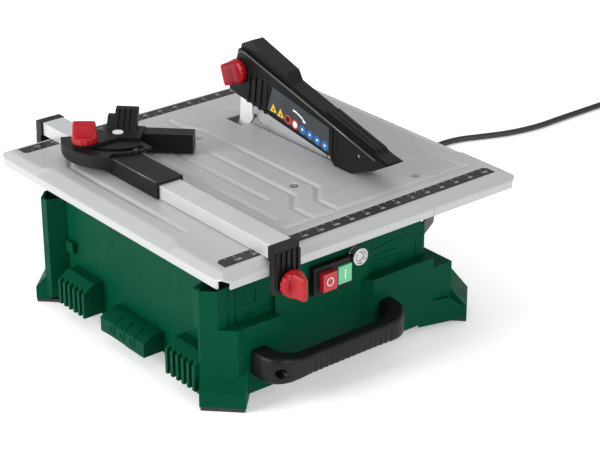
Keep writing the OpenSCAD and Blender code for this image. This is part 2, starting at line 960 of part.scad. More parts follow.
module front_scale() {
    color([0.10, 0.10, 0.11])
        translate([0, 0, top_z - 0.6])
            linear_extrude(height = 0.6)
                polygon([[-175.5, -179.5], [173.5, -179.5], [173.5, -169], [170, -165],
                         [-172, -165], [-175.5, -169]]);
}

module rear_scale() {
    color([0.10, 0.10, 0.11])
        translate([0, 0, top_z - 0.6])
            linear_extrude(height = 0.6)
                polygon([[-175.5, 182.5], [173.5, 182.5], [173.5, 172], [170, 168.5],
                         [-172, 168.5], [-175.5, 172]]);
}

module table_screws() {
    color([0.55, 0.56, 0.58])
        for (p = screw_pts)
            difference() {
                translate([p[0], p[1], top_z - 8]) {
                    cylinder(h = 7, r = 2);
                    translate([0, 0, 6.5])
                        cylinder(h = 1.3, r1 = 2.5, r2 = 4.1);
                }
                translate([p[0], p[1], top_z - 1])
                    cylinder(h = 2, r = 1.6, $fn = 6);
            }
}

// steel quadrant below the table with two arc slots about the tilt axis
module tilt_bracket(y0, y1, yf) {
    difference() {
        union() {
            xz_plate(y0, y1, [
                [-40, top_z - sheet_t], [-40, 150], [-14, 128], [-12, 104], [6, 92],
                [32, 74], [62, 72], [84, 78], [122, 110], [128, 150],
                [128, top_z - sheet_t]
            ]);
            box([-40, yf > 0 ? y0 - 8 : y0, top_z - sheet_t - 2.5],
                [128, yf > 0 ? y1 : y1 + 8, top_z - sheet_t]);
            // tabs for the table screws
            box([-17, yf > 0 ? y0 : 80, top_z - sheet_t - 2.5],
                [-1, yf > 0 ? -69 : y1, top_z - sheet_t]);
            box([96, yf > 0 ? y0 : 132, top_z - sheet_t - 2.5],
                [112, yf > 0 ? -126 : y1, top_z - sheet_t]);
        }
        for (p = screw_pts)
            translate([p[0], p[1], 150])
                cylinder(h = 20, r = 2);
        tilt_slot(y0 - 1, y1 + 1, nut_angle, nut_angle + 45, tilt_r, bolt_r + 0.3);
        tilt_slot(y0 - 1, y1 + 1, 270, 315, 62, bolt_r + 0.3);
    }
}

module tilt_bracket_front() {
    color([0.70, 0.71, 0.73])
        tilt_bracket(-145, -142.5, 1);
}

module tilt_bracket_rear() {
    color([0.70, 0.71, 0.73])
        tilt_bracket(142.5, 145, -1);
}

// ---------- fence ----------

module fence_rail() {
    color([0.80, 0.81, 0.82])
        difference() {
            box([rail_x0, -195, rail_z0], [rail_x0 + rail_w, rail_y1, rail_z1]);
            box([rail_x0 + 1.8, -200, rail_z0 + 1.8],
                [rail_x0 + rail_w - 1.8, 210, rail_z1 - 1.8]);
        }
}

// end clamp of the fence, drawn for the front and mirrored for the rear;
// pad reaches back from the clamp plate to the skirt of the table
module clamp_body(y0, pad) {
    difference() {
        union() {
            box([-137, y0 - 10, 132], [-107.5, y0 - 2.3, rail_z1 + 0.3]);
            box([-137, y0 - 2.3, rail_z0], [-107.5, y0, rail_z1 + 0.3]);
            if (pad > 0)
                box([-137, y0 - 2.4, 134], [-107.5, y0 - 2.3 + pad, 156]);
            // plug inside the rail
            box([rail_x0 + 2, y0 - 0.1, rail_z0 + 2],
                [rail_x0 + rail_w - 2, y0 + 14, rail_z1 - 2]);
            // upright ribs on the face
            for (i = [0:4])
                box([-136 + i * 6.4, y0 - 12, 137], [-133 + i * 6.4, y0 - 9.9, 174]);
        }
        ycyl(fence_knob_x, fence_knob_z, y0 - 20, y0 + 5, 3.05);
    }
}

module fence_front_clamp() {
    color(black)
        clamp_body(-195, 0);
}

module fence_rear_clamp() {
    color(black)
        mirror([0, 1, 0])
            clamp_body(-rail_y1, rail_y1 - 195);
}

// hooked nuts that draw the clamps against the skirts
module clamp_jaws() {
    color(steel)
        for (sy = [-1, 1])
            mirror([0, sy < 0 ? 0 : 1, 0])
                difference() {
                    box([-130, -194.6, 136], [-112, -189, 154.5]);
                    ycyl(fence_knob_x, fence_knob_z, -200, -180, 3.05);
                }
}

module fence_front_knob() {
    color(red)
        translate([fence_knob_x, -208.8, fence_knob_z])
            rotate([90, 0, 0])
                rotate([0, 0, 90])
                    wing_knob(22);
}

module fence_rear_knob() {
    color(red)
        translate([fence_knob_x, 210.3, fence_knob_z])
            rotate([-90, 0, 0])
                rotate([0, 0, 90])
                    wing_knob(24);
}

// ---------- mitre gauge ----------

module mitre_carriage() {
    color(black)
        difference() {
            union() {
                // sleeve over the rail
                box([-137.7, -18, top_z + 1], [-105.3, 128, 183.2]);
                // sector with a rim, to the left and the front of the pivot
                translate([pivot_x, pivot_y, 183])
                    linear_extrude(height = 3)
                        intersection() {
                            circle(r = sector_r, $fn = 120);
                            polygon([[14, 8], [-8, 13], [-66, 42], [-100, -60], [-46, -60],
                                     [-40, -42], [0, -20]]);
                        }
                translate([pivot_x, pivot_y, 183])
                    linear_extrude(height = 3)
                        difference() {
                            intersection() {
                                circle(r = 50, $fn = 120);
                                polygon([[0, 14], [-52, 0], [-52, -60], [9, -60], [10, 0]]);
                            }
                            for (a = [238:8:270])
                                rotate([0, 0, a])
                                    translate([51.2, 0])
                                        circle(r = 2.4, $fn = 24);
                        }
                translate([pivot_x, pivot_y, 172])
                    linear_extrude(height = 12)
                        intersection() {
                            difference() {
                                circle(r = sector_r, $fn = 120);
                                circle(r = sector_r - 4, $fn = 120);
                            }
                            polygon([[0, 0], [-66, 42], [-100, -60], [-46, -60]]);
                        }
                translate([pivot_x, pivot_y, 179])
                    cylinder(h = 7, r = 14);
            }
            // room for the rail
            box([rail_x0 - 0.2, -30, top_z - 1],
                [rail_x0 + rail_w + 0.2, 140, rail_z1 + 0.2]);
            // curved slot for the clamping bolt
            for (a = [180:3:270])
                translate([pivot_x + mitre_knob_r * cos(a),
                           pivot_y + mitre_knob_r * sin(a), 181])
                    cylinder(h = 20, r = 4.2, $fn = 24);
            // pivot hole
            translate([pivot_x, pivot_y, 170])
                cylinder(h = 30, r = 4.05);
        }
}

// local frame of the arm: +X along the arm, +Y away from the operator
module at_arm() {
    translate([pivot_x, pivot_y, 0])
        rotate([0, 0, -45])
            children();
}

module mitre_arm() {
    color(black)
        at_arm()
            difference() {
                union() {
                    // swinging arm, open at the rear
                    difference() {
                        box([20, 2.5, top_z + 2], [79, 20, 188]);
                        box([24, 5.5, top_z + 1], [76, 17.5, 183]);
                    }
                    // root plate and the lever to the clamping bolt
                    box([-15, -13, 186.3], [26, 20, 189.3]);
                    rotate([0, 0, 225])
                        box([0, -12, 186.3], [mitre_knob_r, 12, 189.3]);
                    rotate([0, 0, 225])
                        translate([mitre_knob_r, 0, 186.3])
                            cylinder(h = 3, r = 12);
                    // ribbed grip block that leans backwards, with a lower shoulder
                    difference() {
                        union() {
                            yz_plate(-6, 18, [[7, 189], [23, 206.5], [30, 207.5],
                                              [31, 204.5], [20, 189]]);
                            yz_plate(-14, -5.5, [[8, 189], [19, 200], [25.5, 200.5],
                                                 [20, 189]]);
                        }
                        for (x = [-2.5, 3.5, 9.5])
                            yz_plate(x, x + 2.4, [[5, 189.4], [21.5, 207.4], [24.5, 207.4],
                                                  [24, 204.5], [10.5, 189.8]]);
                    }
                }
                translate([0, 0, 180])
                    cylinder(h = 8.8, r = 4.05);
                rotate([0, 0, 225])
                    translate([mitre_knob_r, 0, 180])
                        cylinder(h = 20, r = 3.05);
            }
}

module mitre_dial() {
    color([0.92, 0.92, 0.92])
        at_arm()
            translate([0, 0, 189.3])
                cylinder(h = 0.5, r = 5.8);
}

module mitre_pivot() {
    color(steel)
        translate([pivot_x, pivot_y, 176.5]) {
            cylinder(h = 12, r = 4);
            cylinder(h = 2.4, r = 5);
        }
}

module mitre_knob() {
    color(red)
        translate([pivot_x - mitre_knob_r, pivot_y, 189.4])
            rotate([0, 0, -39])
                wing_knob(6);
}

// ---------- cord ----------

module cord_gland() {
    color([0.12, 0.12, 0.12])
        difference() {
            union() {
                xcyl(100, 38, 122, 129.4, 8);
                xcyl(100, 38, 129.4, 133, 11);
                translate([133, 100, 38])
                    rotate([0, 90, 0])
                        cylinder(h = 19, r1 = 8.5, r2 = 5.4);
                xcyl(100, 38, 119, 123, 9.5);
            }
            xcyl(100, 38, 100, 160, cord_r);
        }
}

n_pts = len(cord_pts);
sides = 10;
steps = 4;
// points along the route, with Catmull-Rom blending between the hand-placed ones
function cr(p0, p1, p2, p3, t) =
    0.5 * ((2 * p1) + (p2 - p0) * t + (2 * p0 - 5 * p1 + 4 * p2 - p3) * t * t
           + (3 * p1 - p0 - 3 * p2 + p3) * t * t * t);
function at(i) = cord_pts[max(0, min(n_pts - 1, i))];
route = [for (i = [0:n_pts - 2]) for (s = [0:steps - 1])
            cr(at(i - 1), at(i), at(i + 1), at(i + 2), s / steps), at(n_pts - 1)];
n_rings = len(route);
function unit(v) = v / norm(v);
function tangent(i) = i == 0 ? [1, 0, 0] : i == n_rings - 1 ? [1, 0, 0]
    : unit(route[i + 1] - route[i - 1]);
function side_dir(t) = unit(cross([0, 0, 1], t));
ring_pts = [for (i = [0:n_rings - 1]) for (k = [0:sides - 1])
    let (t = tangent(i), u = side_dir(t), w = cross(t, u), a = 360 * k / sides)
        route[i] + cord_r * (cos(a) * u + sin(a) * w)];
ring_faces = [for (i = [0:n_rings - 2]) for (k = [0:sides - 1])
    let (k2 = (k + 1) % sides)
        [i * sides + k, i * sides + k2, (i + 1) * sides + k2, (i + 1) * sides + k]];

module cord_tube() {
    color([0.08, 0.08, 0.08])
        polyhedron(
            points = ring_pts,
            faces = concat(ring_faces,
                           [[for (k = [sides - 1:-1:0]) k]],
                           [[for (k = [0:sides - 1]) (n_rings - 1) * sides + k]]),
            convexity = 10);
}

// the rest of the lead, wound flat on the floor
module cord_coil() {
    color([0.08, 0.08, 0.08])
        translate([coil_x, coil_y, 0])
            rotate_extrude($fn = 72)
                for (j = [0:1])
                    for (i = [0:2 - j])
                        translate([coil_mean_r - cord_r * 2 * (i - 1),
                                   cord_r + 0.2 + j * cord_r * 2])
                            circle(r = cord_r + 0.15, $fn = 24);
}

module plug() {
    color([0.09, 0.09, 0.09])
        union() {
            translate([coil_x - 38, coil_y - 49.6, 16])
                rotate([0, -90, 0])
                    cylinder(h = 30, r1 = 5, r2 = 13);
            translate([coil_x - 68, coil_y - 49.6, 16])
                rotate([0, -90, 0])
                    cylinder(h = 8, r = 15.9);
            for (dy = [-9.5, 9.5])
                translate([coil_x - 76, coil_y - 49.6 + dy, 16])
                    rotate([0, -90, 0])
                        cylinder(h = 19, r = 2.4);
            translate([coil_x, coil_y - 49.6, 11.6])
                rotate([0, -83.7, 0])
                    cylinder(h = 41, r = cord_r);
        }
}

base_housing();
rubber_feet();
water_tray();
carry_handle();
handle_screws();
switch_housing();
start_button();
stop_button();
guide_bolts();
tilt_nut_front();
tilt_nut_rear();
motor_plate();
plate_screws();
motor_housing();
end_shield_left();
end_shield_right();
stator_core();
windings();
rotor_core();
motor_shaft();
cooling_fan();
fan_cover();
bearings();
motor_bolts();
capacitor();
inner_flange();
outer_flange();
arbor_nut();
saw_blade();
knife_bracket();
knife_bolts();
riving_knife();
guard_left_shell();
guard_right_shell();
guard_screws();
guard_label();
guard_bolt();
guard_knob();
table_top();
front_scale();
rear_scale();
table_screws();
tilt_bracket_front();
tilt_bracket_rear();
fence_rail();
fence_front_clamp();
fence_rear_clamp();
clamp_jaws();
fence_front_knob();
fence_rear_knob();
mitre_carriage();
mitre_arm();
mitre_dial();
mitre_pivot();
mitre_knob();
cord_gland();
cord_tube();
cord_coil();
plug();
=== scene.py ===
import json
import math

import bmesh
import bpy
import numpy as np
from mathutils import Matrix, Vector


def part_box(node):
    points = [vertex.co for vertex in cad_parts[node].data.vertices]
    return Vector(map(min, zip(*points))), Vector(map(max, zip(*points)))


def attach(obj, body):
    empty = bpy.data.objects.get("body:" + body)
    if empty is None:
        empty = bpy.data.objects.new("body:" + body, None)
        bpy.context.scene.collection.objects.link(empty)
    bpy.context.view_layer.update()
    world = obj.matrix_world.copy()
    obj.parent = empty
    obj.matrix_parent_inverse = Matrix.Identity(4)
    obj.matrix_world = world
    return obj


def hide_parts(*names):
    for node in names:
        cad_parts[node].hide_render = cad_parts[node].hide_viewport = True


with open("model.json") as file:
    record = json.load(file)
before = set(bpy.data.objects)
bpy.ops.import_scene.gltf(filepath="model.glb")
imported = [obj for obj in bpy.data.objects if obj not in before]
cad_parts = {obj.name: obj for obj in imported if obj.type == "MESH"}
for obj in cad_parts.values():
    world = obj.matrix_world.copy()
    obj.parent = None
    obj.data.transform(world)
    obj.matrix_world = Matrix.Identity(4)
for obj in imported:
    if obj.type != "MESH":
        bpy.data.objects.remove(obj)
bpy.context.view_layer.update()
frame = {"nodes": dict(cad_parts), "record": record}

MM = 0.001


def mm(*v):
    return Vector(v) * MM


# ---------- camera ----------
AZIMUTH = math.radians(-39.305)
ELEVATION = math.radians(25.174)
cam_data = bpy.data.cameras.new("camera")
cam_data.sensor_width = 36.0
cam_data.sensor_fit = "HORIZONTAL"
cam_data.lens = 110.92
cam_data.clip_end = 30.0
camera = bpy.data.objects.new("camera", cam_data)
bpy.context.scene.collection.objects.link(camera)
camera.location = (-1.09045, -1.40668, 0.92643)
back = Vector((math.sin(AZIMUTH) * math.cos(ELEVATION),
               -math.cos(AZIMUTH) * math.cos(ELEVATION),
               math.sin(ELEVATION)))
camera.rotation_mode = "QUATERNION"
camera.rotation_quaternion = back.to_track_quat("Z", "Y")
bpy.context.scene.camera = camera


# ---------- materials ----------
def node_material(name, color, rough, metallic=0.0, specular=0.5, coat=0.0,
                  tone=0.06, tone_scale=9.0, rough_spread=0.08, rough_scale=60.0,
                  grain=1400.0, grain_depth=0.03, wave=0.0, wave_scale=0.0,
                  wear_and_highlight=0.0, wear_and_highlight_color=(0.6, 0.6, 0.6), dust=0.0):
    """A procedural material: blotches of tone, grain, roughness, and edges tinted by a bevel
    mask, partly rubbed wear and partly painted highlight.
    """
    m = bpy.data.materials.new(name)
    m.use_nodes = True
    nt = m.node_tree
    nt.nodes.clear()
    n, link = nt.nodes.new, nt.links.new
    out = n("ShaderNodeOutputMaterial")
    bsdf = n("ShaderNodeBsdfPrincipled")
    link(bsdf.outputs[0], out.inputs[0])
    bsdf.inputs["Metallic"].default_value = metallic
    bsdf.inputs["Specular IOR Level"].default_value = specular
    bsdf.inputs["Coat Weight"].default_value = coat
    bsdf.inputs["Coat Roughness"].default_value = 0.15
    coord = n("ShaderNodeTexCoord").outputs["Object"]

    def noise(scale, detail=3.0):
        t = n("ShaderNodeTexNoise")
        t.inputs["Scale"].default_value = scale
        t.inputs["Detail"].default_value = detail
        link(coord, t.inputs["Vector"])
        return t.outputs["Fac"]

    def mapped(value, lo, hi, a=0.3, b=0.7):
        r = n("ShaderNodeMapRange")
        r.inputs["From Min"].default_value = a
        r.inputs["From Max"].default_value = b
        r.inputs["To Min"].default_value = lo
        r.inputs["To Max"].default_value = hi
        link(value, r.inputs["Value"])
        return r.outputs["Result"]

    def mixed(fac, a, b):
        x = n("ShaderNodeMix")
        x.data_type = "RGBA"
        link(fac, x.inputs["Factor"])
        for socket, v in ((x.inputs[6], a), (x.inputs[7], b)):
            if isinstance(v, tuple):
                socket.default_value = (*v, 1.0)
            else:
                link(v, socket)
        return x.outputs[2]

    dark = tuple(c * (1 - tone) for c in color)
    light = tuple(min(1.0, c * (1 + tone)) for c in color)
    tint = mixed(mapped(noise(tone_scale), 0.0, 1.0), dark, light)
    fine = noise(grain, 2.0)
    speck = tuple(c * (1 - tone * 1.5) for c in color)
    tint = mixed(mapped(fine, 0.0, 0.35, 0.45, 0.75), tint, speck)
    # edge tint from a bevel mask: on the table and the green moulding the lighter edges are a
    # painted highlight, on the other materials they stand for rubbed wear
    if wear_and_highlight > 0:
        bev = n("ShaderNodeBevel")
        bev.samples = 4
        bev.inputs["Radius"].default_value = 0.0011
        geo = n("ShaderNodeNewGeometry")
        dot = n("ShaderNodeVectorMath")
        dot.operation = "DOT_PRODUCT"
        link(bev.outputs[0], dot.inputs[0])
        link(geo.outputs["Normal"], dot.inputs[1])
        edge = mapped(dot.outputs["Value"], wear_and_highlight, 0.0, 0.80, 0.985)
        broken = n("ShaderNodeMath")
        broken.operation = "MULTIPLY"
        link(edge, broken.inputs[0])
        link(mapped(noise(130.0), 0.35, 1.0, 0.35, 0.6), broken.inputs[1])
        tint = mixed(broken.outputs[0], tint, wear_and_highlight_color)
    if dust > 0:
        tint = mixed(mapped(noise(22.0, 6.0), 0.0, dust, 0.5, 0.8), tint, (0.62, 0.62, 0.60))
    link(tint, bsdf.inputs["Base Color"])
    link(mapped(noise(rough_scale), max(0.03, rough - rough_spread), rough + rough_spread),
         bsdf.inputs["Roughness"])
    bump = n("ShaderNodeBump")
    bump.inputs["Strength"].default_value = 1.0
    bump.inputs["Distance"].default_value = grain_depth * MM
    link(fine, bump.inputs["Height"])
    if wave > 0:
        w = n("ShaderNodeTexWave")
        w.bands_direction = "Y"
        w.inputs["Scale"].default_value = wave_scale
        w.inputs["Distortion"].default_value = 1.5
        w.inputs["Detail"].default_value = 3.0
        link(coord, w.inputs["Vector"])
        brush = n("ShaderNodeBump")
        brush.inputs["Distance"].default_value = wave * MM
        link(w.outputs["Fac"], brush.inputs["Height"])
        link(bump.outputs[0], brush.inputs["Normal"])
        link(brush.outputs[0], bsdf.inputs["Normal"])
    else:
        link(bump.outputs[0], bsdf.inputs["Normal"])
    return m


MATS = {
    # the light-green edge tint of this moulding is a painted highlight
    "green_plastic": node_material(
        "green_moulding", (0.0002, 0.053, 0.025), 0.45, specular=0.04, tone=0.08, grain=2600,
        grain_depth=0.02, wear_and_highlight=0.45, wear_and_highlight_color=(0.010, 0.19, 0.10)),
    "rubber_black": node_material(
        "foot_rubber", (0.02, 0.02, 0.02), 0.8, tone=0.15, grain=1800, grain_depth=0.05),
    "tray_plastic": node_material(
        "tray_moulding", (0.10, 0.105, 0.105), 0.5, tone=0.08, grain=2200, dust=0.05),
    "black_plastic": node_material(
        "black_moulding", (0.0060, 0.0060, 0.0062), 0.40, specular=0.20, tone=0.12, grain=2400,
        grain_depth=0.05, rough_spread=0.07, wear_and_highlight=0.30, wear_and_highlight_color=(0.045, 0.045, 0.045)),
    "red_plastic": node_material(
        "red_moulding", (0.33, 0.006, 0.012), 0.30, specular=0.3, tone=0.07, grain=2000,
        grain_depth=0.012, wear_and_highlight=0.25, wear_and_highlight_color=(0.50, 0.05, 0.05)),
    "start_green": node_material(
        "start_key", (0.12, 0.52, 0.27), 0.30, coat=0.1, tone=0.05, grain=2000,
        grain_depth=0.01),
    "stop_red": node_material(
        "stop_key", (0.45, 0.012, 0.022), 0.28, coat=0.15, tone=0.06, grain=2000,
        grain_depth=0.01),
    "zinc_steel": node_material(
        "zinc_plate", (0.55, 0.55, 0.56), 0.34, metallic=1.0, tone=0.10, grain=900,
        grain_depth=0.02),
    "chrome_nut": node_material(
        "bright_nickel", (0.52, 0.52, 0.50), 0.20, metallic=1.0, tone=0.05, grain=700,
        grain_depth=0.008, rough_spread=0.04),
    # the near-white edge tint of this steel is a painted highlight along the pressed grooves and
    # borders
    "table_steel": node_material(
        "powder_coat", (0.45, 0.452, 0.455), 0.40, metallic=0.20, tone=0.025, tone_scale=5.0,
        grain=1700, grain_depth=0.035, rough_spread=0.05, wear_and_highlight=0.55,
        wear_and_highlight_color=(0.85, 0.85, 0.85)),
    "scale_black": node_material(
        "scale_strip", (0.018, 0.019, 0.021), 0.42, specular=0.25, tone=0.08, grain=2500,
        grain_depth=0.008),
    "motor_alu": node_material(
        "die_cast", (0.42, 0.43, 0.44), 0.45, metallic=0.9, tone=0.08, grain=900,
        grain_depth=0.06),
    "lamination": node_material(
        "steel_stack", (0.22, 0.23, 0.24), 0.45, metallic=0.9, tone=0.10, wave=0.05,
        wave_scale=320.0),
    "copper_winding": node_material(
        "lacquered_copper", (0.55, 0.18, 0.06), 0.3, metallic=0.9, tone=0.12, wave=0.08,
        wave_scale=260.0),
    "shaft_steel": node_material(
        "ground_steel", (0.60, 0.60, 0.61), 0.22, metallic=1.0, tone=0.06, wave=0.01,
        wave_scale=900.0),
    "blade_steel": node_material(
        "blade_steel", (0.62, 0.63, 0.64), 0.34, metallic=0.55, tone=0.05, grain=1200,
        grain_depth=0.01),
    "white_paint": node_material(
        "white_enamel", (0.80, 0.80, 0.79), 0.35, tone=0.03, grain=1500,
        grain_depth=0.02, wear_and_highlight=0.2, wear_and_highlight_color=(0.55, 0.55, 0.55)),
    "label_grey": node_material(
        "sticker_film", (0.040, 0.046, 0.055), 0.36, tone=0.05, grain=2600,
        grain_depth=0.006),
    "rail_alu": node_material(
        "anodised_rail", (0.58, 0.59, 0.60), 0.38, metallic=0.35, tone=0.03,
        grain=1500, grain_depth=0.01),
    "dial_white": node_material(
        "dial_white", (0.82, 0.82, 0.81), 0.4, tone=0.03, grain=1500, grain_depth=0.01),
    "cord_black": node_material(
        "cord_sheath", (0.016, 0.016, 0.017), 0.48, tone=0.12, grain=2200,
        grain_depth=0.03),
}
# a lighter, glossier black for the guard's bead and the sleeve's lip: a painted highlight line
# along them
HIGHLIGHT_LINE_BLACK = node_material("highlight_line_black", (0.075, 0.075, 0.076), 0.26, specular=0.6,
                             tone=0.15, grain=2000, grain_depth=0.02)
# a dark grey steel for the tilt brackets: painted shade, for the shadow under the table
SHADED_BRACKET_STEEL = node_material("bracket_painted_shade", (0.10, 0.105, 0.11), 0.5, metallic=0.5,
                              tone=0.12, grain=1100, grain_depth=0.02)


def ink(name, color, rough=0.45, tone=0.04):
    return node_material("print_" + name, color, rough, tone=tone, grain=2500,
                         grain_depth=0.004)


MARK_GREY = ink("grey", (0.42, 0.42, 0.42), 0.5, 0.03)
MARK_WHITE = ink("white", (0.80, 0.80, 0.80), 0.5, 0.03)
MARK_YELLOW = ink("yellow", (0.80, 0.48, 0.02))
MARK_RED = ink("red", (0.62, 0.05, 0.04))
MARK_BLUE = ink("blue", (0.008, 0.14, 0.42))

SLOTS = {s["node"]: s["material_slot"] for s in frame["record"]["subparts"]}


# ---------- making pieces ----------
def add_mesh(name, bm, material, body, smooth=True):
    """Make an object of bm; with a body it rides that body and carries the slot."""
    bmesh.ops.recalc_face_normals(bm, faces=bm.faces)
    me = bpy.data.meshes.new(name)
    bm.to_mesh(me)
    bm.free()
    for p in me.polygons:
        p.use_smooth = smooth
    o = bpy.data.objects.new(name, me)
    bpy.context.scene.collection.objects.link(o)
    me.materials.append(material)
    if body:
        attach(o, body)
    return o


def soften(o, width, segments=2, angle=32.0):
    """Round the sharp edges of a node."""
    weld = o.modifiers.new("weld", "WELD")
    weld.merge_threshold = 0.00001
    bev = o.modifiers.new("bevel", "BEVEL")
    bev.width = width
    bev.segments = segments
    bev.limit_method = "ANGLE"
    bev.angle_limit = math.radians(angle)
    bev.use_clamp_overlap = True
    bev.miter_outer = "MITER_ARC"
    wn = o.modifiers.new("normals", "WEIGHTED_NORMAL")
    wn.weight = 60
    wn.keep_sharp = False


# ---------- cord ----------
CORD_R = 3.8
ROUTE = [(152, 100, 38), (172, 100.5, 36.5), (195, 102, 30), (218, 104.5, 19),
         (242, 108, 9.5), (268, 113, 4.8), (300, 122, 3.8), (335, 135, 3.8),
         (372, 152, 3.8), (408, 171, 3.8), (443, 186, 3.8), (478, 184, 3.8),
         (512, 171, 3.8), (548, 158, 3.8), (590, 151, 3.8), (640, 151, 3.8),
         (690, 151, 3.8), (740, 151, 3.8)]
COIL_X, COIL_Y = 790.0, 101.4
LOW, HIGH = 3.95, 11.6  # heights of the cord's middle in the coil's two layers
OUTER, MIDDLE, INNER = 49.6, 42.0, 34.4  # radii of the coil's turns
PLUG_Z = 16.0
FLOOR_GAP = 0.02


def ease(t):
    t = max(0.0, min(1.0, t))
    return t * t * (3 - 2 * t)


def coil_points(step=7.5):
    """Three turns lying side by side, then two more on top, wound clockwise."""
    pts = []
    turns = [(OUTER, LOW), (MIDDLE, LOW), (INNER, LOW), (MIDDLE, HIGH), (OUTER, HIGH)]
    total = 4 * 360 + 180
    k = 0.0
    while k <= total:
        i = int(min(k // 360, 4))
        t = k - i * 360
        r, z = turns[i]
        if i < 4:
            r2, z2 = turns[i + 1]
            if i == 2:
                z = z + (z2 - z) * ease((t - 250) / 75)
                r = r + (r2 - r) * ease((t - 325) / 35 * 0.5)
            else:
                r = r + (r2 - r) * ease((t - 265) / 75)
        if i == 3:
            r = r if t > 40 else INNER + (MIDDLE - INNER) * ease(0.5 + t / 80)
            if t > 265:
                r = MIDDLE + (OUTER - MIDDLE) * ease((t - 265) / 75)
        a = math.radians(90 - k)
        pts.append((COIL_X + r * math.cos(a), COIL_Y + r * math.sin(a), z))
        k += step
    return pts


def smooth_route(points, steps):
    """A Catmull-Rom curve through the points."""
    out = []
    for i in range(len(points) - 1):
        p = [Vector(points[max(0, min(len(points) - 1, i + j))]) for j in (-1, 0, 1, 2)]
        for s in range(steps):
            t = s / steps
            out.append(0.5 * (2 * p[1] + (p[2] - p[0]) * t
                              + (2 * p[0] - 5 * p[1] + 4 * p[2] - p[3]) * t * t
                              + (3 * p[1] - p[0] - 3 * p[2] + p[3]) * t ** 3))
    out.append(Vector(points[-1]))
    return out


TAIL_Y = COIL_Y - OUTER
TAIL = [(COIL_X - 14, TAIL_Y, 12.4), (COIL_X - 28, TAIL_Y, 14.8),
        (COIL_X - 40, TAIL_Y, PLUG_Z), (COIL_X - 46, TAIL_Y, PLUG_Z)]
line = smooth_route(ROUTE, 4) + [Vector(p) for p in coil_points()] + [Vector(p) for p in TAIL]
for p in line:
    p.z = max(p.z, CORD_R + FLOOR_GAP)
cord_curve = bpy.data.curves.new("mains_cord", "CURVE")
cord_curve.dimensions = "3D"
cord_curve.bevel_depth = CORD_R * MM
cord_curve.bevel_resolution = 5
cord_curve.use_fill_caps = True
spline = cord_curve.splines.new("POLY")
spline.points.add(len(line) - 1)
for q, p in zip(spline.points, line):
    q.co = (*(p * MM), 1.0)
spline.use_smooth = True
mains_cord = bpy.data.objects.new("mains_cord", cord_curve)
bpy.context.scene.collection.objects.link(mains_cord)
cord_curve.materials.append(MATS["cord_black"])
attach(mains_cord, "base")
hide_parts("cord_tube", "cord_coil")


def turned(name, profile, origin, axis, material, body, segments=48, lobes=0,
           lobe_depth=0.0, lobe_rows=()):
    """A turned shape: profile is (distance along axis, radius), in mm; lobe_rows are waisted."""
    bm = bmesh.new()
    z = Vector(axis).normalized()
    x = z.orthogonal().normalized()
    y = z.cross(x)
    rows = []
    for k, (d, r) in enumerate(profile):
        row = []
        for i in range(segments):
            a = 2 * math.pi * i / segments
            rr = r
            if lobes and k in lobe_rows:
                rr = r * (1 - lobe_depth * (0.5 - 0.5 * math.cos(a * lobes)))
            row.append(bm.verts.new((Vector(origin) + z * d
                                     + (x * math.cos(a) + y * math.sin(a)) * rr) * MM))
        rows.append(row)
    for a, b in zip(rows, rows[1:]):
        for i in range(segments):
            j = (i + 1) % segments
            bm.faces.new((a[i], a[j], b[j], b[i]))
    bm.faces.new(list(reversed(rows[0])))
    bm.faces.new(rows[-1])
    return add_mesh(name, bm, material, body)


# the two-pin plug: ribbed sleeve, shaped body with a grip waist, and pins
plug_profile = [(0, 4.4)]
for i in range(6):  # ribs of the sleeve
    plug_profile += [(2 + i * 3.2, 4.6 + i * 0.42), (3.6 + i * 3.2, 5.9 + i * 0.42),
                     (4.2 + i * 3.2, 5.9 + i * 0.42), (4.6 + i * 3.2, 4.7 + i * 0.42)]
plug_profile += [(22, 8.5), (24, 11.0), (27, 12.6), (31, 12.9), (34, 13.6), (36, 15.0),
                 (37.2, 15.8), (38.6, 15.9), (39.4, 15.6), (39.6, 14.8)]
plug_body = turned("plug_body", plug_profile, (COIL_X - 37, TAIL_Y, PLUG_Z), (-1, 0, 0),
                   MATS["cord_black"], "base", lobes=2, lobe_depth=0.16,
                   lobe_rows=range(26, 31))
for dy in (-9.5, 9.5):
    turned(
        "plug_pin_" + ("a" if dy < 0 else "b"),
        [(0, 2.4), (9, 2.4), (9.1, 2.2), (17.4, 2.2), (18.4, 1.7), (18.9, 0.9)],
        (COIL_X - 76, TAIL_Y + dy, PLUG_Z), (-1, 0, 0),
        MATS["chrome_nut"], "base", segments=24)
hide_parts("plug")

# ---------- table top: pressed steel sheet ----------
TABLE_LOW, TABLE_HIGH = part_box("table_top")
HALF_W = TABLE_HIGH.x / MM
HALF_D = TABLE_HIGH.y / MM
SHEET_TOP = TABLE_HIGH.z / MM
SKIRT_Z = TABLE_LOW.z / MM
CORNER_R = 14.0
DROP = 6.5
SHEET_GAUGE = 1.8
GROOVE_DEPTH, GROOVE_FLAT, GROOVE_EDGE = 1.7, 0.8, 4.2
SCREW_DEPTH, SCREW_FLAT, SCREW_EDGE = 2.3, 2.6, 5.2
STRIP_DEPTH = 0.7
GROOVES = [
    [(-159, -95), (-159, 108), (-148, 124)],
    [(-75, -128), (-75, 125)],
    [(-52, -86), (-52, 120)],
    [(-44, -144), (-44, -117), (-24, -94), (-24, 84)],
    [(-13, -144), (-13, -117), (7, -94), (7, 104), (-5, 124), (-5, 144)],
    [(127, -144), (127, -112), (124, -90), (124, 140)],
    [(156, -144), (156, -114), (154, -94), (154, 140)],
    [(-80, -150), (162, -150)],
]
# the blade's slot, and its wide end where the riving knife stands
SLOT_X, SLOT_Y = (61, 73), (-70, 86)
WIDE_X, WIDE_END_Y = (48, 82), 113.5
CELL = 1.6
TABLE_SCREWS = [(-9, 87.5), (-9, -76.5), (104, -134.5), (104, 140)]


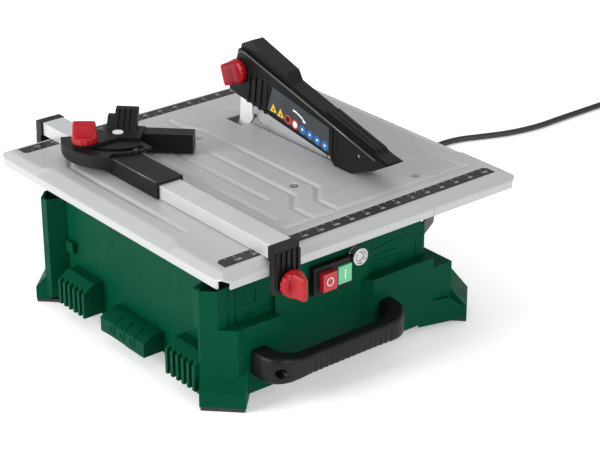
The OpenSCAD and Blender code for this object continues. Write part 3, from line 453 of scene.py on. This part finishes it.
def smoothstep(a, b, v):
    """ease() for arrays, from 0 at a to 1 at b."""
    t = np.clip((v - a) / (b - a), 0.0, 1.0)
    return t * t * (3 - 2 * t)


def segment_distance(x, y, a, b):
    ax, ay = a
    dx, dy = b[0] - ax, b[1] - ay
    t = np.clip(((x - ax) * dx + (y - ay) * dy) / (dx * dx + dy * dy), 0.0, 1.0)
    return np.hypot(x - ax - t * dx, y - ay - t * dy)


def sheet_height(x, y):
    """Height of the sheet's upper face: sloping border, pressed grooves, recesses."""
    left = np.interp(y, [-116, -104, 117, 124], [-184, -176.5, -176.5, -184])
    right = np.interp(y, [-121, -114, 124, 131], [183, 174, 174, 183])
    drop = np.maximum.reduce([
        (left - x) / (left + HALF_W), (x - right) / (HALF_W - right),
        (-186 - y) / (HALF_D - 186), (y - 185) / (HALF_D - 185)])
    soft = 0.06
    drop = np.where(drop > soft, drop, np.where(drop > -soft, (drop + soft) ** 2 / (4 * soft), 0))
    z = SHEET_TOP - DROP * np.minimum(drop, 1.0)
    for line_points in GROOVES:
        d = np.minimum.reduce([segment_distance(x, y, a, b)
                               for a, b in zip(line_points, line_points[1:])])
        z = np.minimum(z, SHEET_TOP
                       - GROOVE_DEPTH * (1 - smoothstep(GROOVE_FLAT, GROOVE_EDGE, d)))
    for px, py in TABLE_SCREWS:
        d = np.hypot(x - px, y - py)
        z = np.minimum(z, SHEET_TOP
                       - SCREW_DEPTH * (1 - smoothstep(SCREW_FLAT, SCREW_EDGE, d)))
    for name in ("front_scale", "rear_scale"):
        lo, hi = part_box(name)
        inside = np.minimum.reduce([x - lo.x / MM, hi.x / MM - x, y - lo.y / MM, hi.y / MM - y])
        z = np.minimum(z, SHEET_TOP - STRIP_DEPTH * smoothstep(-1.6, -0.2, inside))
    return z


def table_sheet():
    """The sheet: a grid with the blade's slot, and a skirt turned down round it."""
    xs = np.unique(np.concatenate([np.arange(-HALF_W + 1, HALF_W, CELL),
                                   [HALF_W - 1, *SLOT_X, *WIDE_X]]))
    ys = np.unique(np.concatenate([np.arange(-HALF_D + 1, HALF_D, CELL),
                                   [HALF_D - 1, *SLOT_Y, WIDE_END_Y]]))
    gx, gy = np.meshgrid(xs, ys, indexing="ij")
    over = np.clip(np.abs(gy) - (HALF_D - CORNER_R), 0, CORNER_R - 0.5)
    reach = HALF_W - CORNER_R + np.sqrt(CORNER_R ** 2 - over ** 2)
    straight = 150  # columns further out than this are drawn in to round the corners
    px = np.where(np.abs(gx) > straight,
                  np.sign(gx) * (straight + (np.abs(gx) - straight)
                                 * (reach - (straight + 1)) / (HALF_W - (straight + 1))), gx)
    z = sheet_height(px, gy)
    bm = bmesh.new()
    vs = [[bm.verts.new((px[i, j] * MM, gy[i, j] * MM, z[i, j] * MM))
           for j in range(len(ys))] for i in range(len(xs))]
    for i in range(len(xs) - 1):
        cx = (xs[i] + xs[i + 1]) / 2
        for j in range(len(ys) - 1):
            cy = (ys[j] + ys[j + 1]) / 2
            in_slot = SLOT_X[0] < cx < SLOT_X[1] and SLOT_Y[0] < cy < SLOT_Y[1]
            in_wide_end = WIDE_X[0] < cx < WIDE_X[1] and SLOT_Y[1] <= cy < WIDE_END_Y
            if in_slot or in_wide_end:
                continue
            bm.faces.new((vs[i][j], vs[i + 1][j], vs[i + 1][j + 1], vs[i][j + 1]))
    ni, nj = len(xs), len(ys)
    loop = ([vs[i][0] for i in range(ni)] + [vs[ni - 1][j] for j in range(1, nj)]
            + [vs[i][nj - 1] for i in range(ni - 2, -1, -1)]
            + [vs[0][j] for j in range(nj - 2, 0, -1)])
    previous = loop
    count = len(loop)
    for out, z_row in ((0.6, -0.4), (0.95, -1.2), (1.0, -2.2), (1.0, None), (0.8, None)):
        row = []
        for k, v in enumerate(loop):
            a, b = loop[k - 1].co, loop[(k + 1) % count].co
            t = (b - a).normalized()
            n = Vector((t.y, -t.x, 0)).normalized()
            p = v.co + n * out * MM
            p.x = max(-HALF_W * MM, min(HALF_W * MM, p.x))
            p.y = max(-HALF_D * MM, min(HALF_D * MM, p.y))
            zz = v.co.z + z_row * MM if z_row is not None else \
                (SKIRT_Z + (0.4 if out == 1.0 else 0.0)) * MM
            row.append(bm.verts.new((p.x, p.y, zz)))
        for k in range(count):
            m = (k + 1) % count
            p = (loop[k].co + loop[m].co) / 2 / MM
            corner = abs(p.x) > HALF_W - 10 and abs(p.y) > HALF_D - 8.5
            if z_row is None and corner:
                continue
            bm.faces.new((previous[k], row[k], row[m], previous[m]))
        previous = row
    for v in [v for v in bm.verts if not v.link_faces]:
        bm.verts.remove(v)
    o = add_mesh("table_sheet", bm, MATS["table_steel"], "table")
    solid = o.modifiers.new("gauge", "SOLIDIFY")
    solid.thickness = SHEET_GAUGE * MM
    solid.offset = -1
    return o


table_sheet_piece = table_sheet()
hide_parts("table_top")

# ---------- carried CAD nodes ----------
# width in mm of each node's rounded edges
BEVEL = {"base_housing": 1.6, "switch_housing": 1.0, "guard_left_shell": 1.5,
         "guard_right_shell": 1.5, "fence_front_clamp": 0.9, "fence_rear_clamp": 0.9,
         "mitre_carriage": 0.9, "mitre_arm": 0.9, "stop_button": 1.0, "start_button": 0.8,
         "fence_rail": 0.7, "riving_knife": 0.3, "rubber_feet": 0.6, "tilt_nut_front": 0.5,
         "tilt_nut_rear": 0.5}
hidden_by_piece = {"cord_tube", "cord_coil", "plug", "table_top", "carry_handle",
                   "fence_front_knob", "fence_rear_knob", "mitre_knob", "guard_knob"}
for name, o in frame["nodes"].items():
    if name in hidden_by_piece:
        continue
    slot = SLOTS[name]
    # the tilt brackets get the darkened steel: painted shade under the table
    m = SHADED_BRACKET_STEEL if name.startswith("tilt_bracket") else MATS[slot]
    if not o.material_slots:
        o.data.materials.append(m)
    for s in o.material_slots:
        s.material = m
    if name in BEVEL:
        soften(o, BEVEL[name] * MM)


# ---------- printed marks ----------
def flat_text(name, text, size, place, rot, material, body, thick=0.05):
    c = bpy.data.curves.new(name, "FONT")
    c.body = text
    c.size = size * MM
    c.align_x = "CENTER"
    c.align_y = "CENTER"
    c.extrude = thick * MM
    o = bpy.data.objects.new(name, c)
    bpy.context.scene.collection.objects.link(o)
    o.matrix_world = Matrix.Translation(mm(*place)) @ rot.to_4x4()
    c.materials.append(material)
    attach(o, body)
    return o


def plates(name, quads, thick, material, body):
    """Thin printed plates. Each quad is a list of corner points with its normal."""
    bm = bmesh.new()
    for pts, nrm in quads:
        lo = [bm.verts.new(Vector(p) * MM) for p in pts]
        hi = [bm.verts.new((Vector(p) + Vector(nrm) * thick) * MM) for p in pts]
        bm.faces.new(hi)
        bm.faces.new(list(reversed(lo)))
        for i in range(len(pts)):
            j = (i + 1) % len(pts)
            bm.faces.new((lo[i], lo[j], hi[j], hi[i]))
    return add_mesh(name, bm, material, body, smooth=False)


TOP_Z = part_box("front_scale")[1].z / MM
SCALE_ZERO_X, SCALE_STEP = 64, 10
LAST_TICK_X, LAST_NUMBER_X = 172, 168
LONG_TICK, SHORT_TICK, HALF_TICK = 3.8, 2.4, 0.25
NUMBER_SIZE = 5.2
flat = Matrix.Identity(3)
ticks = []
for strip, y_edge, y_text, sign in (("front", -165.6, -174.6, -1), ("rear", 169.2, 176.6, 1)):
    for k in range(-11, 24):
        x = SCALE_ZERO_X - k * SCALE_STEP
        if not abs(x) < LAST_TICK_X:
            continue
        h = LONG_TICK if k % 2 == 0 else SHORT_TICK
        y0, y1 = (y_edge - h, y_edge) if sign < 0 else (y_edge, y_edge + h)
        x0, x1 = x - HALF_TICK, x + HALF_TICK
        ticks.append(([(x0, y0, TOP_Z), (x1, y0, TOP_Z), (x1, y1, TOP_Z), (x0, y1, TOP_Z)],
                      (0, 0, 1)))
    for k in range(-10, 23, 2):
        x = SCALE_ZERO_X - k * SCALE_STEP
        if abs(x) < LAST_NUMBER_X:
            flat_text("number_%s_%d" % (strip, k + 100), str(abs(k) * SCALE_STEP), NUMBER_SIZE,
                      (x, y_text, TOP_Z + 0.05), flat, MARK_GREY, "table")
plates("scale_ticks", ticks, 0.06, MARK_GREY, "table")

# O and I on the switch keys
plates("start_mark", [([(-18.2, -167.05, 97), (-16.8, -167.05, 97), (-16.8, -167.05, 108),
                        (-18.2, -167.05, 108)], (0, 1, 0))], 0.5, MARK_WHITE, "start")
bm = bmesh.new()
ring = []
RING_X, RING_Z, RING_SIDES = -40, 102.5, 40
for r in (3.6, 4.5):
    ring.append([[bm.verts.new(mm(RING_X + r * math.cos(2 * math.pi * i / RING_SIDES), y,
                                  RING_Z + r * math.sin(2 * math.pi * i / RING_SIDES)))
                  for i in range(RING_SIDES)] for y in (-171.06, -170.6)])
for i in range(RING_SIDES):
    j = (i + 1) % RING_SIDES
    (a0, a1), (b0, b1) = ring
    bm.faces.new((a0[i], a0[j], b0[j], b0[i]))
    bm.faces.new((a1[i], b1[i], b1[j], a1[j]))
    bm.faces.new((a0[i], a1[i], a1[j], a0[j]))
    bm.faces.new((b0[i], b0[j], b1[j], b1[i]))
add_mesh("stop_mark", bm, MARK_WHITE, "stop", smooth=False)


# ---------- knobs: lobed disc with a tapering wing ----------
def superellipse(a, b, n, count):
    """Outline with half axes a and b; the higher n is, the squarer it is."""
    pts = []
    for i in range(count):
        t = 2 * math.pi * (i + 0.5) / count
        c, q = math.cos(t), math.sin(t)
        pts.append((a * math.copysign(abs(c) ** (2 / n), c),
                    b * math.copysign(abs(q) ** (2 / n), q)))
    return pts


def bridge(bm, rows):
    """Join rows of vertices into a closed skin with flat ends."""
    for a, b in zip(rows, rows[1:]):
        for i in range(len(a)):
            j = (i + 1) % len(a)
            bm.faces.new((a[i], a[j], b[j], b[i]))
    bm.faces.new(list(reversed(rows[0])))
    bm.faces.new(rows[-1])


# distance from the back, half length, half thickness and squareness of each row of the wing
WING_ROWS = [(3.8, 12.6, 8.2, 5), (7.4, 12.9, 7.6, 5), (8.6, 12.8, 5.6, 6), (9.8, 12.6, 4.6, 6),
             (14.0, 12.3, 4.0, 6), (19.0, 12.0, 3.3, 6), (21.3, 11.7, 2.9, 5),
             (22.3, 11.2, 2.4, 4), (22.5, 10.2, 1.6, 3)]
KNOB_H = 26  # height of the CAD knob from its back to the end of its wing
# distance from the back and radius of each row of the disc
LOBES, LOBE_DEPTH, LOBE_GAIN, LOBED_FROM = 14, 0.55, 1.6, 12
DISC_ROWS = [(0.0, 12.2), (0.5, 13.3), (1.2, 13.9), (5.6, 13.9), (6.4, 13.5), (7.0, 12.5),
             (7.6, 11.4), (8.2, 9.5)]


def wing_knob(name, node, body, origin, axis, wing):
    """origin is the centre of the knob's back, axis points outwards, wing is along the paddle."""
    z = Vector(axis).normalized()
    x = Vector(wing).normalized()
    y = z.cross(x)
    o = Vector(origin)
    bm = bmesh.new()
    rows = []
    count = 168
    for d, r in DISC_ROWS:
        row = []
        for i in range(count):
            a = 2 * math.pi * i / count
            rr = r
            if r > LOBED_FROM:
                rr = r + LOBE_DEPTH * (abs(math.cos(a * LOBES / 2)) ** 0.6 - 1) * LOBE_GAIN
            row.append(bm.verts.new((o + z * d + (x * math.cos(a) + y * math.sin(a)) * rr) * MM))
        rows.append(row)
    bridge(bm, rows)
    rows = []
    for d, a, b, n in WING_ROWS:
        rows.append([bm.verts.new((o + z * d + x * p + y * q) * MM)
                     for p, q in superellipse(a, b, n, 48)])
    bridge(bm, rows)
    k = add_mesh(name, bm, MATS["red_plastic"], body)
    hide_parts(node)
    k.modifiers.new("shade", "WEIGHTED_NORMAL").weight = 40
    return k


front_low, front_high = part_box("fence_front_knob")
rear_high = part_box("fence_rear_knob")[1]
knob_x = (front_low.x + front_high.x) / 2 / MM
knob_z = (front_low.z + front_high.z) / 2 / MM
wing_knob("front_clamp_knob", "fence_front_knob", "front_knob",
          (knob_x, front_low.y / MM + KNOB_H, knob_z), (0, -1, 0), (0, 0, 1))
wing_knob("rear_clamp_knob", "fence_rear_knob", "rear_knob",
          (knob_x, rear_high.y / MM - KNOB_H, knob_z), (0, 1, 0), (0, 0, 1))
lo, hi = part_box("mitre_knob")
wing_knob("gauge_knob", "mitre_knob", "mitre_wing",
          ((lo.x + hi.x) / 2 / MM, (lo.y + hi.y) / 2 / MM, hi.z / MM - KNOB_H), (0, 0, 1),
          (0.774, -0.633, 0))
lo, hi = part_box("guard_knob")
wing_knob("guard_wing_knob", "guard_knob", "guard_wing",
          (hi.x / MM, (lo.y + hi.y) / 2 / MM, (lo.z + hi.z) / 2 / MM), (-1, 0, 0),
          (0, math.sin(math.radians(20)), math.cos(math.radians(20))))


# ---------- carrying handle: one swept moulding ----------
HOLE_X, HOLE_Z = (-126, 38), 43
RIB_PITCH, RIB_DEPTH = 7.0, 0.95


def handle():
    """Sweep the grip along its plan, rib its front, and bore its two screw holes."""
    lo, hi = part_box("carry_handle")
    x0, x1 = lo.x / MM, hi.x / MM
    y0, y1 = lo.y / MM, hi.y / MM
    mid = (lo.z + hi.z) / 2 / MM - 2.2
    # plan of the middle line, and there the width in plan, the height and the lift
    stations = [((x0 + 10.5, y1 - 0.2), 20.5, 28.6, 2.4), ((x0 + 10.5, y1 - 8), 20.5, 28.8, 2.4),
                ((x0 + 10.8, y1 - 16), 20.8, 28.8, 2.4), ((x0 + 14.5, y1 - 23), 22.0, 28.6, 2.3),
                ((x0 + 22, y1 - 27), 20.5, 27.4, 1.8), ((x0 + 30, y0 + 9.8), 18.4, 24.6, 0.6),
                ((x0 + 38, y0 + 9.4), 17.6, 22.4, 0.0), ((x0 + 50, y0 + 9.4), 17.2, 21.8, 0.0),
                ((x0 + 70, y0 + 9.4), 17.0, 21.6, 0.0), ((-40, y0 + 9.4), 17.0, 21.6, 0.0),
                ((-10, y0 + 9.4), 17.0, 21.6, 0.0), ((8, y0 + 9.4), 17.4, 22.0, 0.0),
                ((19, y0 + 10.0), 18.4, 23.6, 0.4), ((28, y0 + 13.5), 19.0, 27.0, 1.8),
                ((34, y0 + 21), 18.2, 28.6, 2.4), ((x1 - 8.6, y1 - 9), 17.0, 28.8, 2.4),
                ((x1 - 8.4, y1 - 0.2), 17.0, 28.6, 2.4)]
    pts = [Vector((p[0][0], p[0][1], 0)) for p in stations]
    sizes = [Vector(p[1:]) for p in stations]
    centre = smooth_route([tuple(p) for p in pts], 14)
    shape = smooth_route([tuple(p) for p in sizes], 14)
    bm = bmesh.new()
    rows = []
    for k, (c, q) in enumerate(zip(centre, shape)):
        a, b = centre[max(0, k - 1)], centre[min(len(centre) - 1, k + 1)]
        t = (b - a).normalized()
        side = Vector((t.y, -t.x, 0))
        w, h, lift = q
        ribbed = smoothstep(x0 + 40, x0 + 48, c.x) * (1 - smoothstep(12, 20, c.x))
        row = []
        for p, r in superellipse(w / 2, h / 2, 5.5, 56):
            front = max(0.0, min(1.0, p / (w / 2) * 1.2)) if p > 0 else 0.0
            below = max(0.0, min(1.0, (2 - r) / (h / 2)))
            cut = RIB_DEPTH * ribbed * front * (0.35 + 0.65 * below) \
                * (0.5 - 0.5 * math.cos(2 * math.pi * c.x / RIB_PITCH)) ** 0.7
            row.append(bm.verts.new((c + side * (p - cut) + Vector((0, 0, mid + lift + r))) * MM))
        rows.append(row)
    bridge(bm, rows)
    o = add_mesh("grip_handle", bm, MATS["black_plastic"], "base")
    cutters = []
    for x in HOLE_X:
        c = turned("cutter", [(0, 5.2), (30, 4.8)], (x, y0 - 5, HOLE_Z), (0, 1, 0),
                   MATS["black_plastic"], None, segments=32)
        m = o.modifiers.new("screw_hole", "BOOLEAN")
        m.object = c
        m.operation = "DIFFERENCE"
        m.solver = "EXACT"
        cutters.append(c)
    graph = bpy.context.evaluated_depsgraph_get()
    cut_mesh = bpy.data.meshes.new_from_object(o.evaluated_get(graph))
    o.modifiers.clear()
    o.data = cut_mesh
    for c in cutters:
        bpy.data.objects.remove(c)
    o.data.shade_smooth()
    o.modifiers.new("shade", "WEIGHTED_NORMAL").weight = 50
    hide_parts("carry_handle")
    return o


handle()


# ---------- sticker shapes on the guard: plain discs, rings, wedges and an arrow ----------
LABEL_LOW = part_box("guard_label")[0]
LABEL_X = LABEL_LOW.x / MM
FIRST_Y, STEP_Y, LAST = 36.5, -12.2, 7
MARK_R, WEDGE_R = 5.2, 6.6
ROW_SLOPE = 0.1751
INK_LIFT = 0.05


def disc(y, z, r, lift=0.0, count=28):
    return [(LABEL_X - lift, y + r * math.cos(2 * math.pi * i / count),
             z + r * math.sin(2 * math.pi * i / count)) for i in range(count)]


def mark_place(k):
    """Centre of shape k in the row that follows the sticker's lower edge."""
    y = FIRST_Y + STEP_Y * k
    return y, 199.5 + (y - 47.3) * ROW_SLOPE


stickers = {"yellow": [], "red": [], "blue": [], "white": [], "black": []}
for k in range(LAST + 1):
    y, z = mark_place(k)
    if k < 2:
        stickers["yellow"].append([
            (LABEL_X, y + WEDGE_R * math.cos(t), z + WEDGE_R * math.sin(t))
            for t in (math.pi / 2, math.pi * 7 / 6, math.pi * 11 / 6)])
        stickers["black"].append(disc(y, z - 0.6, 1.2, INK_LIFT))
    elif k < 4:
        stickers["red"].append(disc(y, z, MARK_R))
        stickers["white" if k == 3 else "black"].append(disc(y, z, 3.6, INK_LIFT))
    else:
        stickers["blue"].append(disc(y, z, MARK_R))
        stickers["white"].append(disc(y, z + 0.4, 1.5, INK_LIFT))
shaft_top, shaft_low = [], []
for i in range(10):
    t = i / 9
    y = 3.5 - 16.5 * t
    z = 206.7 - 1.2 * t - 4.6 * t * t
    shaft_top.append((LABEL_X, y, z + 1.0))
    shaft_low.append((LABEL_X, y, z - 1.0))
stickers["white"].append(shaft_top + shaft_low[::-1])
stickers["white"].append([(LABEL_X, -11.0, 204.2), (LABEL_X, -18.6, 198.0),
                          (LABEL_X, -13.6, 197.6)])
for tint_name, tint in (("yellow", MARK_YELLOW), ("red", MARK_RED), ("blue", MARK_BLUE),
                        ("white", MARK_WHITE), ("black", MATS["scale_black"])):
    plates("sticker_" + tint_name, [(p, (-1, 0, 0)) for p in stickers[tint_name]],
           0.06, tint, "guard")

# ---------- raised details of the guard ----------
GUARD_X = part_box("guard_left_shell")[0].x / MM


def prism(bm, outline, x0, x1, inset=0.0):
    """A prism from x0 to x1 whose outline is in YZ; the x0 face is drawn in by inset."""
    n = len(outline)
    cy = sum(p[0] for p in outline) / n
    cz = sum(p[1] for p in outline) / n
    near, far = [], []
    for y, z in outline:
        d = math.hypot(y - cy, z - cz)
        f = max(0.0, 1 - inset / d)
        near.append(bm.verts.new(mm(x0, cy + (y - cy) * f, cz + (z - cz) * f)))
        far.append(bm.verts.new(mm(x1, y, z)))
    bridge(bm, [near, far])


def tube(bm, points, r, count=12, across=None):
    """A tube with mitred bends along a path; across fixes one side of every row."""
    rows = []
    side = across
    for i, p in enumerate(points):
        a, b = points[max(0, i - 1)], points[min(len(points) - 1, i + 1)]
        t = (Vector(b) - Vector(a)).normalized()
        if across is None:
            side = t.orthogonal() if side is None else side - t * side.dot(t)
            side.normalize()
        up = t.cross(side)
        if across is not None:
            up.normalize()
        rows.append([bm.verts.new((Vector(p) + side * r * math.cos(2 * math.pi * j / count)
                                   + up * r * math.sin(2 * math.pi * j / count)) * MM)
                     for j in range(count)])
    bridge(bm, rows)


bm = bmesh.new()
tube(bm, [(GUARD_X + 0.6, 103, 229), (GUARD_X + 0.5, 97, 243), (GUARD_X + 0.5, 93, 247.5),
          (GUARD_X + 0.5, 85, 247.6), (GUARD_X + 0.5, 14.3, 229.2),
          (GUARD_X + 0.5, -57.5, 210.3), (GUARD_X + 0.5, -128, 191.8)], 1.15,
     across=Vector((1, 0, 0)))
# the bead is drawn in the lighter black: a painted highlight along the ridge
add_mesh("guard_bead", bm, HIGHLIGHT_LINE_BLACK, "guard")

bm = bmesh.new()
for y in (50.5, 60.5, 70.5, 80.5):
    edge = 190 + (y - 54) * 0.15
    prism(bm, [(y - 1.6, edge - 1.8), (y + 1.8, edge - 1.3), (y - 2.2, edge + 35.5),
               (y - 5.4, edge + 34.7)], GUARD_X - 0.8, GUARD_X + 0.3, 0.5)
for y in (46.0, 56.0, 66.0):
    prism(bm, [(y - 2.6, 228.6), (y + 2.6, 230.0), (y + 2.6, 231.2), (y - 2.6, 229.8)],
          GUARD_X - 0.8, GUARD_X + 0.2, 0.3)
prism(bm, [(-62.4, 168.0), (-58.6, 174.6), (-58.6, 208.8), (-62.4, 207.8)],
      GUARD_X - 0.9, GUARD_X + 0.3, 0.5)
prism(bm, [(-66.0, 168.2), (-62.9, 168.2), (-66.0, 206.6), (-69.0, 205.8)],
      GUARD_X - 0.35, GUARD_X + 0.3, 0.3)
add_mesh("guard_ribs", bm, MATS["black_plastic"], "guard", smooth=False)


def top_line(y):
    return 221 + (y + 31) * 0.2576


bm = bmesh.new()
for x0, x1, lift in ((59.5, 62.9, 3.0), (62.9, 64.1, 1.9), (64.1, 69.4, 3.0),
                     (69.4, 70.6, 1.9), (70.6, 74.5, 3.0)):
    prism(bm, [(-43, top_line(-43) - 1), (-48, top_line(-48) + lift),
               (-122, top_line(-122) + lift), (-129, top_line(-129) - 0.6)], x0, x1)
add_mesh("guard_top_pad", bm, MATS["black_plastic"], "guard", smooth=False)

# ---------- thin raised lines on the base and on the gauge's sleeve ----------
LINE_SIDES = 8
bm = bmesh.new()
for y in (-34, -16, 2):
    tube(bm, [(-171.2, y, 37.7), (-182.9, y, 30.9), (-183.2, y, 29), (-183.2, y, 21.5),
              (-183.2, y + 1, 20.5), (-183.2, y + 6, 20.5), (-183.2, y + 7, 21.5),
              (-183.2, y + 7, 27)], 0.75, LINE_SIDES)
for x, y, z0, z1 in ((-152.5, -152.1, 84, 126), (-143.5, -152.1, 84, 126),
                     (-146.5, -166.3, 20, 82), (-176.9, -139.6, 60, 128)):
    tube(bm, [(x, y, z0), (x, y, z1)], 0.8, LINE_SIDES)
add_mesh("base_lines", bm, MATS["green_plastic"], "base")

lo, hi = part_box("mitre_carriage")
bm = bmesh.new()
tube(bm, [(-136.9, lo.y / MM + 1.5, 183.2), (-136.9, lo.y / MM + 80, 183.2)], 0.9,
     LINE_SIDES)
# the lip is drawn in the lighter black: a painted highlight along the sleeve
add_mesh("sleeve_lip", bm, HIGHLIGHT_LINE_BLACK, "mitre_slider")

# ---------- light, floor ----------
world = bpy.data.worlds.new("studio")
bpy.context.scene.world = world
world.use_nodes = True
world.node_tree.nodes["Background"].inputs[0].default_value = (1.0, 1.0, 1.0, 1.0)
world.node_tree.nodes["Background"].inputs[1].default_value = 0.50
bpy.context.scene.view_settings.view_transform = "Standard"


def area(name, place, target, size, power):
    d = bpy.data.lights.new(name, "AREA")
    d.shape = "RECTANGLE"
    d.size, d.size_y = size
    d.energy = power
    o = bpy.data.objects.new(name, d)
    bpy.context.scene.collection.objects.link(o)
    o.location = place
    o.rotation_mode = "QUATERNION"
    o.rotation_quaternion = (Vector(place) - Vector(target)).to_track_quat("Z", "Y")


area("key_left", (-2.4, 0.5, 1.05), (0, 0, 0.12), (1.5, 1.2), 62)
area("top_soft", (0.2, 0.4, 2.4), (0, 0, 0.1), (2.2, 2.2), 17)
area("front_fill", (0.3, -2.5, 0.9), (0, 0, 0.12), (1.8, 1.2), 28)

bm = bmesh.new()
HALF_FLOOR, N, FLOOR_Z = 6.0, 24, -0.0004
grid = [[bm.verts.new(((i / N - 0.5) * 2 * HALF_FLOOR, (j / N - 0.5) * 2 * HALF_FLOOR, FLOOR_Z))
         for j in range(N + 1)] for i in range(N + 1)]
for i in range(N):
    for j in range(N):
        bm.faces.new((grid[i][j], grid[i + 1][j], grid[i + 1][j + 1], grid[i][j + 1]))
floor_mat = node_material("studio_floor", (0.92, 0.92, 0.92), 0.7, tone=0.004, grain=500,
                          grain_depth=0.01, specular=0.2)
floor_shader = next(n for n in floor_mat.node_tree.nodes if n.type == "BSDF_PRINCIPLED")
floor_shader.inputs["Emission Color"].default_value = (1.0, 1.0, 1.0, 1.0)
floor_shader.inputs["Emission Strength"].default_value = 0.30
floor = add_mesh("floor", bm, floor_mat, None, smooth=False)
